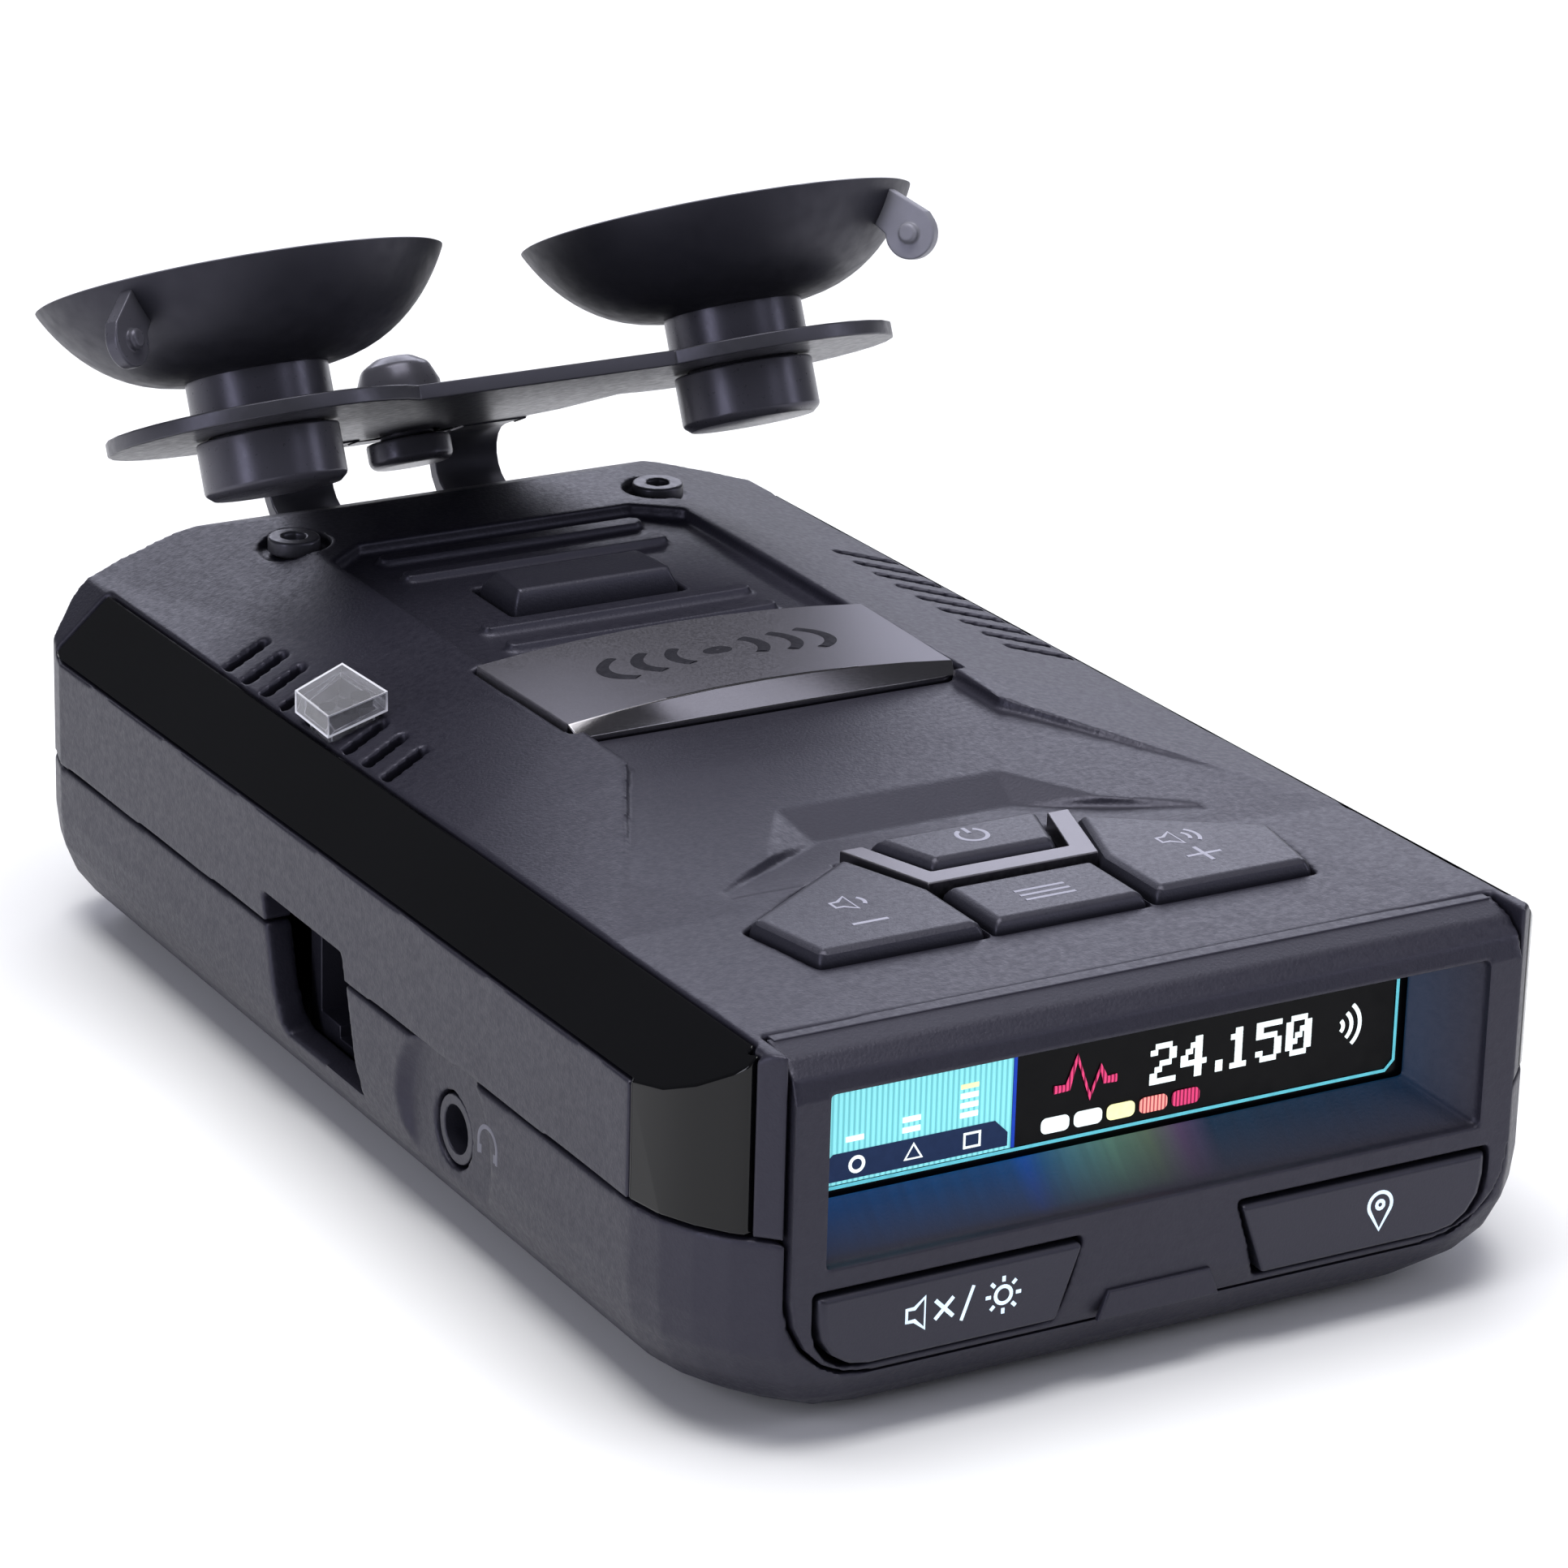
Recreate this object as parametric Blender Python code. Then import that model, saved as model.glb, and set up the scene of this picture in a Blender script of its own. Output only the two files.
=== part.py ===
"""Radar detector with a windshield bracket, as an assembly of separate pieces.

X runs across the detector, -Y faces the driver and +Z is up. The origin is at the centre of the
flat bottom. The sizes below are in millimetres, and `behind(d)` gives the Y that lies the
distance d behind the front face. Helper objects that only cut are hidden wire objects."""

import math

import bmesh
import bpy
from mathutils import Matrix, Vector

MM = 0.001
CLEARANCE = 0.3

# Case
CASE_WIDTH = 70.0
CASE_LENGTH = 114.0
CREST_HEIGHT = 31.0
WALL = 2.2
LOWER_RADIUS = 9.6
FRONT_LOWER_RADIUS = 8.0
REAR_LOWER_RADIUS = 6.0
CORNER_START = 11.0
REAR_CORNER_START = 106.0
CHAMFER_BOTTOM = 24.2
CHAMFER_TOP = 28.7
CHAMFER_INSET = 5.0
PARTING_HEIGHT = 15.5
SIDE_FALL = 0.017
SHOULDER_EDGE = 16.0
FRONT_CREASE = 4.5
BUTTON_DECK = 28.9
CENTRE_DECK = 30.0
REAR_SCREW = (16.3, 102.5)
BOTTOM_SCREW = (23.6, 17.0)
AUDIO_JACK = (38.6, 9.4)

VENT_PITCH = 3.3
VENT_SLANT = 1.2
PRISM_STEM = [(-29.3, 68.4), (-25.4, 69.4), (-25.6, 74.4), (-29.1, 72.3)]

# Front
BEZEL_HALF_WIDTH = 28.8
BEZEL_BOTTOM = 5.0
BEZEL_RADIUS = 6.5
BEZEL_DEPTH = 7.0
WINDOW = (-26.2, 26.2, 13.3, 25.7)
FRONT_BUTTON = (6.5, 26.8, 5.0, 11.6)
FRONT_BUTTON_RADIUS = 5.0

# Bracket
BRACKET_TILT = math.radians(24.5)
BRACKET_CENTRE = (97.6, 42.7)
CUP_OFFSET = 21.0
PLATE_THICKNESS = 1.2
LEG_THICKNESS = 1.3
DISC_RADIUS = 12.4
FRONT_EDGE = 7.6
STEM_RADIUS = 5.6
GROOVE_RADIUS = 4.3
LEG_INNER = 4.7
LEG_OUTER = 10.5
TONGUE_END = 95.6


def behind(distance):
    return distance - CASE_LENGTH / 2


def screw_place(spot, side):
    return side * spot[0], behind(spot[1])


def fall(distance):
    """How far the lines along the sides have dropped, this far behind the front."""
    return SIDE_FALL * (distance - CORNER_START)


# ---------------------------------------------------------------- helpers


def material(name, colour, roughness, metallic=0.0):
    made = bpy.data.materials.new(name)
    made.use_nodes = True
    shader = made.node_tree.nodes["Principled BSDF"]
    shader.inputs["Base Color"].default_value = (*colour, 1.0)
    shader.inputs["Roughness"].default_value = roughness
    shader.inputs["Metallic"].default_value = metallic
    return made


def loft(loops):
    """A closed mesh through loops of points that all have the same count."""
    mesh = bmesh.new()
    rings = [[mesh.verts.new(Vector(point) * MM) for point in loop] for loop in loops]
    count = len(rings[0])
    sides = []
    for near, far in zip(rings, rings[1:]):
        for i in range(count):
            j = (i + 1) % count
            sides.append(mesh.faces.new((near[i], near[j], far[j], far[i])))
    mesh.faces.new(rings[0])
    mesh.faces.new(rings[-1])
    bmesh.ops.connect_verts_nonplanar(mesh, angle_limit=1e-4, faces=sides)
    bmesh.ops.recalc_face_normals(mesh, faces=mesh.faces)
    return mesh


def slab(outline, bottom, top):
    """An outline of (x, y) points raised from bottom to top."""
    return loft([[(x, y, z) for x, y in outline] for z in (bottom, top)])


def bar(outline, front, rear):
    """An outline of (x, z) points drawn out along Y."""
    return loft([[(x, y, z) for x, z in outline] for y in (front, rear)])


def beam(outline, left, right):
    """An outline of (y, z) points drawn out along X."""
    return loft([[(x, y, z) for y, z in outline] for x in (left, right)])


def block(xs, ys, zs):
    return slab([(xs[0], ys[0]), (xs[1], ys[0]), (xs[1], ys[1]), (xs[0], ys[1])], *zs)


def turned(profile, sides, centre=(0, 0), axis="Z"):
    """A solid of revolution from (radius, height) points that start and end on the axis."""
    rings = []
    for radius, height in profile[1:-1]:
        turns = [2 * math.pi * i / sides for i in range(sides)]
        rings.append([(radius * math.cos(a), radius * math.sin(a), height) for a in turns])
    mesh = loft(rings)
    if axis == "Y":
        turn = Matrix.Rotation(-math.pi / 2, 4, "X")
        shift = Matrix.Translation(Vector((centre[0], 0, centre[1])) * MM)
    elif axis == "X":
        turn = Matrix.Rotation(math.pi / 2, 4, "Y")
        shift = Matrix.Translation(Vector((0, centre[0], centre[1])) * MM)
    else:
        turn = Matrix.Identity(4)
        shift = Matrix.Translation(Vector((centre[0], centre[1], 0)) * MM)
    bmesh.ops.transform(mesh, matrix=shift @ turn, verts=mesh.verts)
    return mesh


def rod(radius, start, end, sides=24, centre=(0, 0), axis="Z"):
    profile = [(0, start), (radius, start), (radius, end), (0, end)]
    return turned(profile, sides, centre, axis)


def arc(centre, radius, start, end, steps):
    """Points on a circle from one angle to another, in degrees."""
    angles = [math.radians(start + (end - start) * i / steps) for i in range(steps + 1)]
    return [(centre[0] + radius * math.cos(a), centre[1] + radius * math.sin(a)) for a in angles]


def rounded_box(left, right, low, high, radius, steps=4):
    return (
        arc((right - radius, low + radius), radius, -90, 0, steps)
        + arc((right - radius, high - radius), radius, 0, 90, steps)
        + arc((left + radius, high - radius), radius, 90, 180, steps)
        + arc((left + radius, low + radius), radius, 180, 270, steps)
    )


def mirrored(half):
    """A symmetric outline from its right half, given from the bottom to the top."""
    return half + [(-x, other) for x, other in reversed(half) if abs(x) > 1e-6]


def piece(name, mesh, finish=None, origin=(0, 0, 0)):
    """One named object from a bmesh, with its origin at the given place in millimetres."""
    place = Vector(origin) * MM
    bmesh.ops.translate(mesh, verts=mesh.verts, vec=-place)
    data = bpy.data.meshes.new(name)
    mesh.to_mesh(data)
    mesh.free()
    made = bpy.data.objects.new(name, data)
    made.location = place
    bpy.context.collection.objects.link(made)
    if finish:
        data.materials.append(finish)
    return made


def combine(target, mesh, operation):
    """Boolean with a hidden helper. EXACT drops faces on cuts this small, so MANIFOLD is used."""
    helper = piece(f"helper_{target.name}_{len(target.modifiers)}", mesh)
    helper.hide_render = True
    helper.display_type = "WIRE"
    modifier = target.modifiers.new(operation.title(), "BOOLEAN")
    modifier.object = helper
    modifier.operation = operation
    modifier.solver = "MANIFOLD"


def cut(target, mesh):
    combine(target, mesh, "DIFFERENCE")


def join(target, mesh):
    combine(target, mesh, "UNION")


def keep(target, mesh):
    combine(target, mesh, "INTERSECT")


def smooth(target):
    target.data.shade_smooth()
    target.data.set_sharp_from_angle(angle=math.radians(35))


# ---------------------------------------------------------------- case envelope


def crest(distance):
    """Height of the shoulders' inner edge, this far behind the front."""
    heights = ((0, 28.6), (FRONT_CREASE, 28.7), (23.5, 29.0), (46, 30.8), (55, CREST_HEIGHT))
    for (near, low), (far, high) in zip(heights, heights[1:]):
        if distance <= far:
            return low + (high - low) * (distance - near) / (far - near)
    return CREST_HEIGHT


def section(distance, inset):
    """The roof over one cross-section as (x, z) points: deck, shoulders and long chamfers."""
    outer = CASE_WIDTH / 2 - inset - CHAMFER_INSET + 0.41 * inset
    high = CHAMFER_TOP - fall(distance) - inset
    slope = (CHAMFER_TOP - CHAMFER_BOTTOM - 0.59 * inset) / (CHAMFER_INSET - 0.41 * inset)
    side = [(0, -5), (45, -5), (45, high - slope * (45 - outer)), (outer, high)]
    top = [(SHOULDER_EDGE, crest(distance) - inset), (0, crest(distance) - inset)]
    return mirrored(side + top)


def tuck(radius, height):
    """How far a rounded lower edge has drawn in at this height."""
    rise = max(radius - height, 0)
    return radius - math.sqrt(radius**2 - rise**2)


def footprint(inset, height):
    """The case cut level at one height, with the bowed rear and the swept front corners."""
    above = height - inset
    side = tuck(LOWER_RADIUS - inset, above)
    front = inset + tuck(FRONT_LOWER_RADIUS - inset, above)
    rear = CASE_LENGTH - inset - tuck(REAR_LOWER_RADIUS - inset, above)
    half = CASE_WIDTH / 2 - inset - side
    swept = front - inset
    right = [(0, front), (26.5 - side, front), (29.3 - inset - side, 0.6 + inset / 2 + swept)]
    for x, distance in ((31.8, 3.1), (33.3, 5.3), (34.4, 7.8)):
        right.append((x - inset - side, distance + swept))
    right += [(half, CORNER_START + swept), (half, REAR_CORNER_START)]
    right += [(half - 1.0, min(REAR_CORNER_START + 3.4 - inset / 2, rear - 3.0))]
    right += [(half - 3.6, rear - 2.4), (half - 8, rear - 1.3), (14, rear - 0.3), (0, rear)]
    return [(x, behind(y), height) for x, y in mirrored(right)]


def side_outline(inset):
    """The case seen from the side, where the deck's rear edge is rounded off."""
    rear = CASE_LENGTH + 1
    points = [(-3, -6), (rear, -6), (rear, 27.2 - inset), (112.6 - inset, 29.7 - inset)]
    points += [(107.5, 31.3 - inset), (107.5, CREST_HEIGHT + 2), (-3, CREST_HEIGHT + 2)]
    return [(behind(y), z) for y, z in points]


def envelope(name, inset=0.0, finish=None):
    stops = (-1, FRONT_CREASE, 23.5, 46, 55, CASE_LENGTH + 1)
    sections = [[(x, behind(d), z) for x, z in section(d, inset)] for d in stops]
    solid = piece(name, loft(sections), finish)
    radius = LOWER_RADIUS - inset
    heights = [inset + radius * (1 - math.cos(math.radians(15 * i))) for i in range(7)] + [40]
    keep(solid, loft([footprint(inset, height) for height in heights]))
    keep(solid, beam(side_outline(inset), -40, 40))
    return solid


def applied(source):
    """The mesh of a piece with its modifiers applied. The piece and its helpers are removed."""
    graph = bpy.context.evaluated_depsgraph_get()
    result = bmesh.new()
    result.from_mesh(source.evaluated_get(graph).to_mesh())
    for helper in [m.object for m in source.modifiers] + [source]:
        bpy.data.objects.remove(helper)
    return result


def case_block(inset=0.0):
    return applied(envelope("case_block", inset))


def parting(gap, above):
    """Everything above or below the sloping line where the two shells meet."""
    ends = (-10, CASE_LENGTH + 10)
    line = [(behind(d), PARTING_HEIGHT - fall(d) + gap) for d in ends]
    limit = 60 if above else -60
    return beam(line + [(behind(ends[1]), limit), (behind(ends[0]), limit)], -50, 50)


# ---------------------------------------------------------------- shells


def bezel_outline(grow=0.0):
    half = BEZEL_HALF_WIDTH + grow
    low = BEZEL_BOTTOM - grow
    radius = BEZEL_RADIUS + grow
    corner = arc((half - radius, low + radius), radius, -90, 0, 5)
    return mirrored([(0, low)] + corner + [(half, 40), (0, 40)])


def trim_region(side, gap):
    """The band along one chamfer and round the front corner that the gloss trim fills."""
    inner, low = 30.0 - gap, CHAMFER_BOTTOM - gap
    outline = [(inner, 36), (inner, 27.4 - gap), (33.7 - gap, low), (40, low), (40, 36)]
    front, rear = 3.4, 107.5 + gap
    stops = [(d, fall(d)) for d in (front - gap, rear)]
    loops = [[(side * x, behind(d), z - drop) for x, z in outline] for d, drop in stops]
    return loft(loops)


def corner_region(side, gap):
    """The front corner block below the trim strip, down to the parting line."""
    plan = [(30.2 - gap, 2.3 - gap), (32.0 - gap, 9.0), (33.6 - gap, 11.2 + gap), (40, 11.2 + gap)]
    plan.append((40, 2.3 - gap))
    return slab([(side * x, behind(y)) for x, y in plan], PARTING_HEIGHT + 0.1 - gap, 30)


def vent_slots(side):
    """Slots slanting across one shoulder: nine on the right, seven round the prism on the left."""
    middles = [87.5 - VENT_PITCH * i for i in range(9)]
    if side < 0:
        middles = middles[:4] + [66.8 - VENT_PITCH * i for i in range(3)]
    for middle in middles:
        inner, outer = middle + VENT_SLANT, middle - VENT_SLANT
        ends = [(25.0, inner - 0.6), (29.6, outer - 0.6), (29.6, outer + 0.6), (25.0, inner + 0.6)]
        yield slab([(side * x, behind(distance)) for x, distance in ends], 20, 40)


def deck_hollow():
    """The lowered middle of the deck, with its floor falling to the buttons at the front."""
    wide = [(12.0, 99.5), (15.6, 96.5), (15.6, 48), (29.0, 23.5), (29.0, 23.0)]
    outline = [(x, behind(y)) for x, y in [(-a, b) for a, b in wide] + wide[::-1]]
    floor = [(103, CENTRE_DECK), (46, CENTRE_DECK), (21, BUTTON_DECK - 0.1), (21, 40), (103, 40)]
    hollow = piece("hollow", beam([(behind(y), z) for y, z in floor], -40, 40))
    keep(hollow, slab(outline, 20, 45))
    return applied(hollow)


def button_scoop():
    """The sloped hollow that the four deck buttons lie in."""
    rim = [(-19.7, 27.2), (-9.6, 39.7), (9.6, 39.7), (19.7, 27.2), (19.7, 25.6), (-19.7, 25.6)]
    floor = [(-19.6, 27.0), (-8.3, 33.8), (8.3, 33.8), (19.6, 27.0), (19.6, 25.7), (-19.6, 25.7)]
    rim = [(x, behind(y), CENTRE_DECK + 0.2) for x, y in rim]
    floor = [(x, behind(y), BUTTON_DECK - (0.55 if y > 30 else 0)) for x, y in floor]
    return loft([floor, rim])


DECK_BUTTONS = {
    "power_button": [(-5.0, 22.9), (5.0, 22.9), (6.9, 28.6), (-6.9, 28.6)],
    "menu_button": [(-6.1, 12.8), (6.1, 12.8), (6.1, 20.0), (-6.1, 20.0)],
    "volume_down_button": [(-19.8, 12.8), (-6.9, 12.8), (-6.9, 20.0), (-9.6, 27.8), (-21.2, 20.3)],
    "volume_up_button": [(6.9, 12.8), (19.8, 12.8), (21.2, 20.3), (9.6, 27.8), (6.9, 20.0)],
}
V_TRIM = [(-6.9, 20.4), (6.9, 20.4), (9.4, 28.4), (7.6, 28.4), (5.6, 22.3), (-5.6, 22.3)]
V_TRIM += [(-7.6, 28.4), (-9.4, 28.4)]
BUTTON_TOPS = {"power_button": 30.3, "menu_button": 29.7, "volume_down_button": 29.8}
BUTTON_TOPS["volume_up_button"] = 29.8


def placed(outline):
    return [(x, behind(y)) for x, y in outline]


def grown(outline, amount):
    """The outline of a convex shape, moved outwards by the amount."""
    count = len(outline)
    result = []
    for i in range(count):
        before, here, after = (Vector(outline[(i + k) % count]) for k in (-1, 0, 1))
        first, second = (here - before).normalized(), (after - here).normalized()
        normals = [Vector((way.y, -way.x)) for way in (first, second)]
        spread = (normals[0] + normals[1]).normalized()
        result.append(tuple(here + spread * amount / max(spread.dot(normals[0]), 0.3)))
    return result


def upper_case(plastic):
    shell = piece("upper_case", case_block(), plastic)
    cut(shell, case_block(WALL))
    keep(shell, parting(0.12, True))
    cut(shell, bar(bezel_outline(0.25), behind(-5), behind(FRONT_CREASE + 0.1)))
    cut(shell, block((-27.2, 27.2), (behind(-5), behind(9.5)), (-1, 26.5)))
    for side in (-1, 1):
        cut(shell, trim_region(side, 0.15))
        cut(shell, corner_region(side, 0.15))
    cut(shell, deck_hollow())
    cut(shell, button_scoop())
    deck_openings(shell)
    for side in (-1, 1):
        for slot in vent_slots(side):
            cut(shell, slot)
    for height in (96.8, 92.5, 79.0, 74.8):
        ribs = rounded_box(-11.6, 11.6, behind(height - 0.7), behind(height + 0.7), 0.5, 2)
        join(shell, slab(ribs, CENTRE_DECK - 0.5, CENTRE_DECK + 0.6))
    cut(shell, block((-11.0, 11.0), (behind(106), behind(118)), (25.9, 27.8)))
    for side in (-1, 1):
        join(shell, rod(3.6, 17.0, 29.6, 16, screw_place(REAR_SCREW, side)))
        cut(shell, rod(2.9, 29.9, 33.0, 20, screw_place(REAR_SCREW, side)))
        cut(shell, rod(1.5, 15.0, 33.0, 12, screw_place(REAR_SCREW, side)))
    cut(shell, power_jack_opening(0.0))
    smooth(shell)
    return shell


def deck_openings(shell):
    """Holes in the deck for the buttons, the release button, the name plate and the prism."""
    for outline in DECK_BUTTONS.values():
        cut(shell, slab(placed(grown(outline, 0.3)), 24, 36))
    trim = [(-7.1, 20.2), (7.1, 20.2), (9.9, 28.7), (-9.9, 28.7)]
    cut(shell, slab(placed(trim), 28.2, 36))
    cut(shell, block((-7.7, 7.7), (behind(81.6), behind(88.8)), (24, 36)))
    plate = [(-16.6, 54.7), (16.6, 54.7), (16.9, 70.3), (-16.9, 70.3)]
    cut(shell, slab(placed(plate), 29.4, 36))
    cut(shell, slab(placed(grown(PRISM_STEM, CLEARANCE)), 24, 36))


def jack_corners(grow):
    """The leaning outline of the power jack's opening, as (y, z) points."""
    corners = [(52.2, 6.6), (65.6, 6.4), (68.4, 16.8), (55.0, 16.8)]
    return [(behind(y), z) for y, z in grown(corners, grow)]


def power_jack_opening(grow):
    return beam(jack_corners(grow), -40, -31)


def lower_case(plastic):
    shell = piece("lower_case", case_block(), plastic)
    cut(shell, case_block(WALL))
    keep(shell, parting(-0.12, False))
    cut(shell, bar(bezel_outline(0.25), behind(-5), behind(BEZEL_DEPTH + 0.3)))
    cut(shell, power_jack_opening(0.0))
    cut(shell, rod(2.9, -40, -30, 24, (behind(AUDIO_JACK[0]), AUDIO_JACK[1]), "X"))
    cut(shell, scoop())
    for i in range(5):
        middle = behind(22 + 3.5 * i)
        cut(shell, block((2, 22), (middle - 0.7, middle + 0.7), (-5, 5)))
    for side in (-1, 1):
        join(shell, rod(3.6, 1.5, 12.6, 16, screw_place(REAR_SCREW, side)))
        join(shell, rod(3.2, 1.5, 12.0, 16, screw_place(BOTTOM_SCREW, side)))
        cut(shell, rod(1.2, 6.0, 14.0, 12, screw_place(REAR_SCREW, side)))
        cut(shell, rod(1.5, -1.0, 13.0, 12, screw_place(BOTTOM_SCREW, side)))
        cut(shell, rod(2.4, -1.0, 2.0, 16, screw_place(BOTTOM_SCREW, side)))
    cut(shell, block((-17.0, 17.0), (behind(69.7), behind(92.3)), (-1.0, 0.5)))
    join(shell, block((-8, 8), (behind(109), behind(112.4)), (8, 12.5)))
    cut(shell, block((-6, 6), (behind(108), behind(118)), (9, 11.5)))
    smooth(shell)
    return shell


def scoop():
    """The shallow round hollow in the side that lets a fat plug reach the audio jack."""
    profile = [(0, -40), (9.5, -40), (7.4, -34.9), (6.4, -34.1), (0, -34.1)]
    return turned(profile, 28, (behind(AUDIO_JACK[0]), AUDIO_JACK[1]), "X")


def front_bezel(plastic):
    crease = FRONT_CREASE - 0.2
    reach = [(1.2, 3.5), (0.6, 4.9), (0.1, 6.8), (0.0, 8.0), (0.0, 25.6), (0.5, 27.0)]
    reach += [(1.8, 28.1), (crease, 28.7), (crease, 26.2), (BEZEL_DEPTH, 26.2), (BEZEL_DEPTH, 3.5)]
    frame = piece("front_bezel", bar(bezel_outline(), behind(-2), behind(BEZEL_DEPTH)), plastic)
    keep(frame, beam([(behind(y), z) for y, z in reach], -40, 40))
    for side in (-1, 1):
        corner = sorted((side * 26.9, side * 35))
        cut(frame, block(corner, (behind(4.2), behind(9)), (-1, 40)))
    left, right, low, high = WINDOW
    mouth = [(left, low), (right, low), (right, high), (left, high)]
    back = [(left + 1.4, low + 3.3), (right - 4.4, low + 3.3), (right - 4.4, high - 0.4)]
    back.append((left + 1.4, high - 0.4))
    steps = ((behind(-1), mouth), (behind(0.6), mouth), (behind(4.2), back))
    cut(frame, loft([[(x, y, z) for x, z in ring] for y, ring in steps]))
    cut(frame, block((left + 0.6, right - 0.6), (behind(4.1), behind(9)), (low + 0.6, high)))
    for side in (-1, 1):
        cut(frame, bar(front_button_outline(side, 0.35), behind(-5), behind(9)))
    smooth(frame)
    return frame


def front_button_outline(side, grow=0.0):
    inner, outer, low, high = FRONT_BUTTON
    low, high = low + 0.9 - grow, high + grow - 0.3
    radius = FRONT_BUTTON_RADIUS - 1.2
    corner = arc((outer - radius, low + radius), radius, -90, 0, 4)
    points = [(inner + 1.9 - grow, low)] + [(x + grow, z) for x, z in corner]
    points += [(outer + grow, high), (inner - grow, high)]
    return [(side * x, z) for x, z in points]


def gloss_trim(name, side, gloss):
    strip = piece(name, case_block(), gloss)
    region = piece("region", trim_region(side, -0.1))
    join(region, corner_region(side, -0.1))
    keep(strip, applied(region))
    keep(strip, parting(0.15, True))
    cut(strip, bar(bezel_outline(0.4), behind(-5), behind(3.4)))
    smooth(strip)


def name_plate(metal):
    """A crowned blank plate whose front edge falls away in a bright bevel."""
    rings = []
    low, high = CENTRE_DECK + 0.3, CENTRE_DECK + 1.1
    stops = ((54.9, 16.0, low, 0), (56, 16.3, high, 1), (70.1, 16.6, high, 1))
    for distance, half, edge, rise in stops:
        crown = [(i / 4, edge + rise * (1 - (i / 4) ** 2)) for i in range(4, -5, -1)]
        base = [(-half, behind(distance), 29.7), (half, behind(distance), 29.7)]
        rings.append(base + [(share * half, behind(distance), z) for share, z in crown])
    plate = piece("name_plate", loft(rings), metal)
    smooth(plate)


def button_trim(chrome):
    trim = piece("button_trim", slab(placed(V_TRIM), 28.5, 29.9), chrome)
    smooth(trim)


# ---------------------------------------------------------------- buttons


def deck_button(name, plastic):
    """A key with a flange under the deck that keeps it in."""
    outline = DECK_BUTTONS[name]
    top = BUTTON_TOPS[name]
    loops = [[(x, y, z) for x, y in placed(grown(outline, size))]
             for z, size in ((25.4, 0.0), (top - 0.6, 0.0), (top, -0.5))]
    middle = sum(x for x, _ in outline) / len(outline), sum(y for _, y in outline) / len(outline)
    key = piece(name, loft(loops), plastic, (middle[0], behind(middle[1]), 25.4))
    smooth(key)


def front_button(name, side, plastic):
    outline = front_button_outline(side)
    inner = [(x * 0.985, z + (8 - z) * 0.04) for x, z in outline]
    loops = [[(x, behind(d), z) for x, z in ring]
             for d, ring in ((-0.3, inner), (0.1, outline), (4.6, outline))]
    key = piece(name, loft(loops), plastic, (side * 16.5, behind(4.6), 8.3))
    smooth(key)


def release_button(plastic):
    """The sprung key that frees the bracket, with a catch that reaches back between its legs."""
    foot = [(-7.2, 82.0), (7.2, 82.0), (7.2, 88.3), (-7.2, 88.3)]
    head = [(-6.6, 82.6), (6.6, 82.6), (6.2, 87.4), (-6.2, 87.4)]
    loops = [[(x, behind(y), z) for x, y in ring]
             for ring, z in ((foot, 24.6), (foot, 30.2), (head, 31.7))]
    key = piece("release_button", loft(loops), plastic, (0, behind(85), 26))
    profile = [(87.6, 24.6), (104.2, 24.6), (104.2, 27.4), (101.6, 27.4), (100.8, 25.8)]
    profile.append((87.6, 25.8))
    join(key, beam([(behind(y), z) for y, z in profile], -3.6, 3.6))
    smooth(key)


def release_spring(steel):
    """The coil spring between the main board and the release button."""
    turns, around, coil_radius, wire = 3.5, 12, 2.2, 0.3
    rings = []
    for i in range(int(turns * around) + 1):
        turn = 2 * math.pi * i / around
        height = 20.0 + 4.0 * i / (turns * around)
        ring = arc((coil_radius, height), wire, 0, 300, 5)
        rings.append([(r * math.cos(turn), behind(85) + r * math.sin(turn), z) for r, z in ring])
    piece("release_spring", loft(rings), steel)


# ---------------------------------------------------------------- light guides and display


def laser_prism(clear):
    """A clear slanting block, standing on the shoulder, that gathers laser light."""
    head = [(-30.2, 67.1), (-24.8, 68.5), (-25.1, 75.4), (-30.0, 73.0)]
    levels = [(PRISM_STEM, 26.2, 26.2), (PRISM_STEM, 28.6, 29.4), (head, 28.6, 29.4)]
    levels.append((head, 30.2, 30.8))
    loops = []
    for outline, outer, inner in levels:
        heights = (outer, inner, inner, outer)
        loops.append([(x, behind(y), z) for (x, y), z in zip(outline, heights)])
    piece("laser_prism", loft(loops), clear)


def rear_lens(dark):
    window = block((-5.7, 5.7), (behind(108.5), behind(113.9)), (9.3, 11.2))
    lens = piece("rear_lens", window, dark)
    join(lens, block((-7.4, 7.4), (behind(107.2), behind(108.7)), (8.4, 12.1)))


def display_panel(glass):
    left, right, low, high = WINDOW
    xs = (left + 0.9, right - 0.9)
    piece("display_panel", block(xs, (behind(4.45), behind(6.6)), (low + 0.9, high - 0.3)), glass)


# ---------------------------------------------------------------- electronics


def main_board(green):
    outline = rounded_box(-30, 30, behind(12), behind(98), 3, 3)
    board = piece("main_board", slab(outline, 17.6, 19.2), green)
    for side in (-1, 1):
        cut(board, rod(1.4, 15, 22, 12, (side * 25.5, behind(24))))
        cut(board, rod(1.4, 15, 22, 12, (side * 12.0, behind(92))))


def board_posts_and_screws(shell, steel):
    """Posts under the deck that the main board is screwed to from below."""
    spots = {"left": (-25.5, 24, 27.6), "right": (25.5, 24, 27.6)}
    spots["rear_left"] = (-12.0, 92, 29.3)
    spots["rear_right"] = (12.0, 92, 29.3)
    for name, (x, distance, top) in spots.items():
        place = (x, behind(distance))
        join(shell, rod(2.6, 19.5, top, 12, place))
        cut(shell, rod(0.9, 19.0, 25.0, 10, place))
        screw = piece(f"board_screw_{name}", rod(0.7, 17.0, 24.0, 10, place), steel)
        join(screw, rod(2.2, 16.0, 17.3, 12, place))


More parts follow.
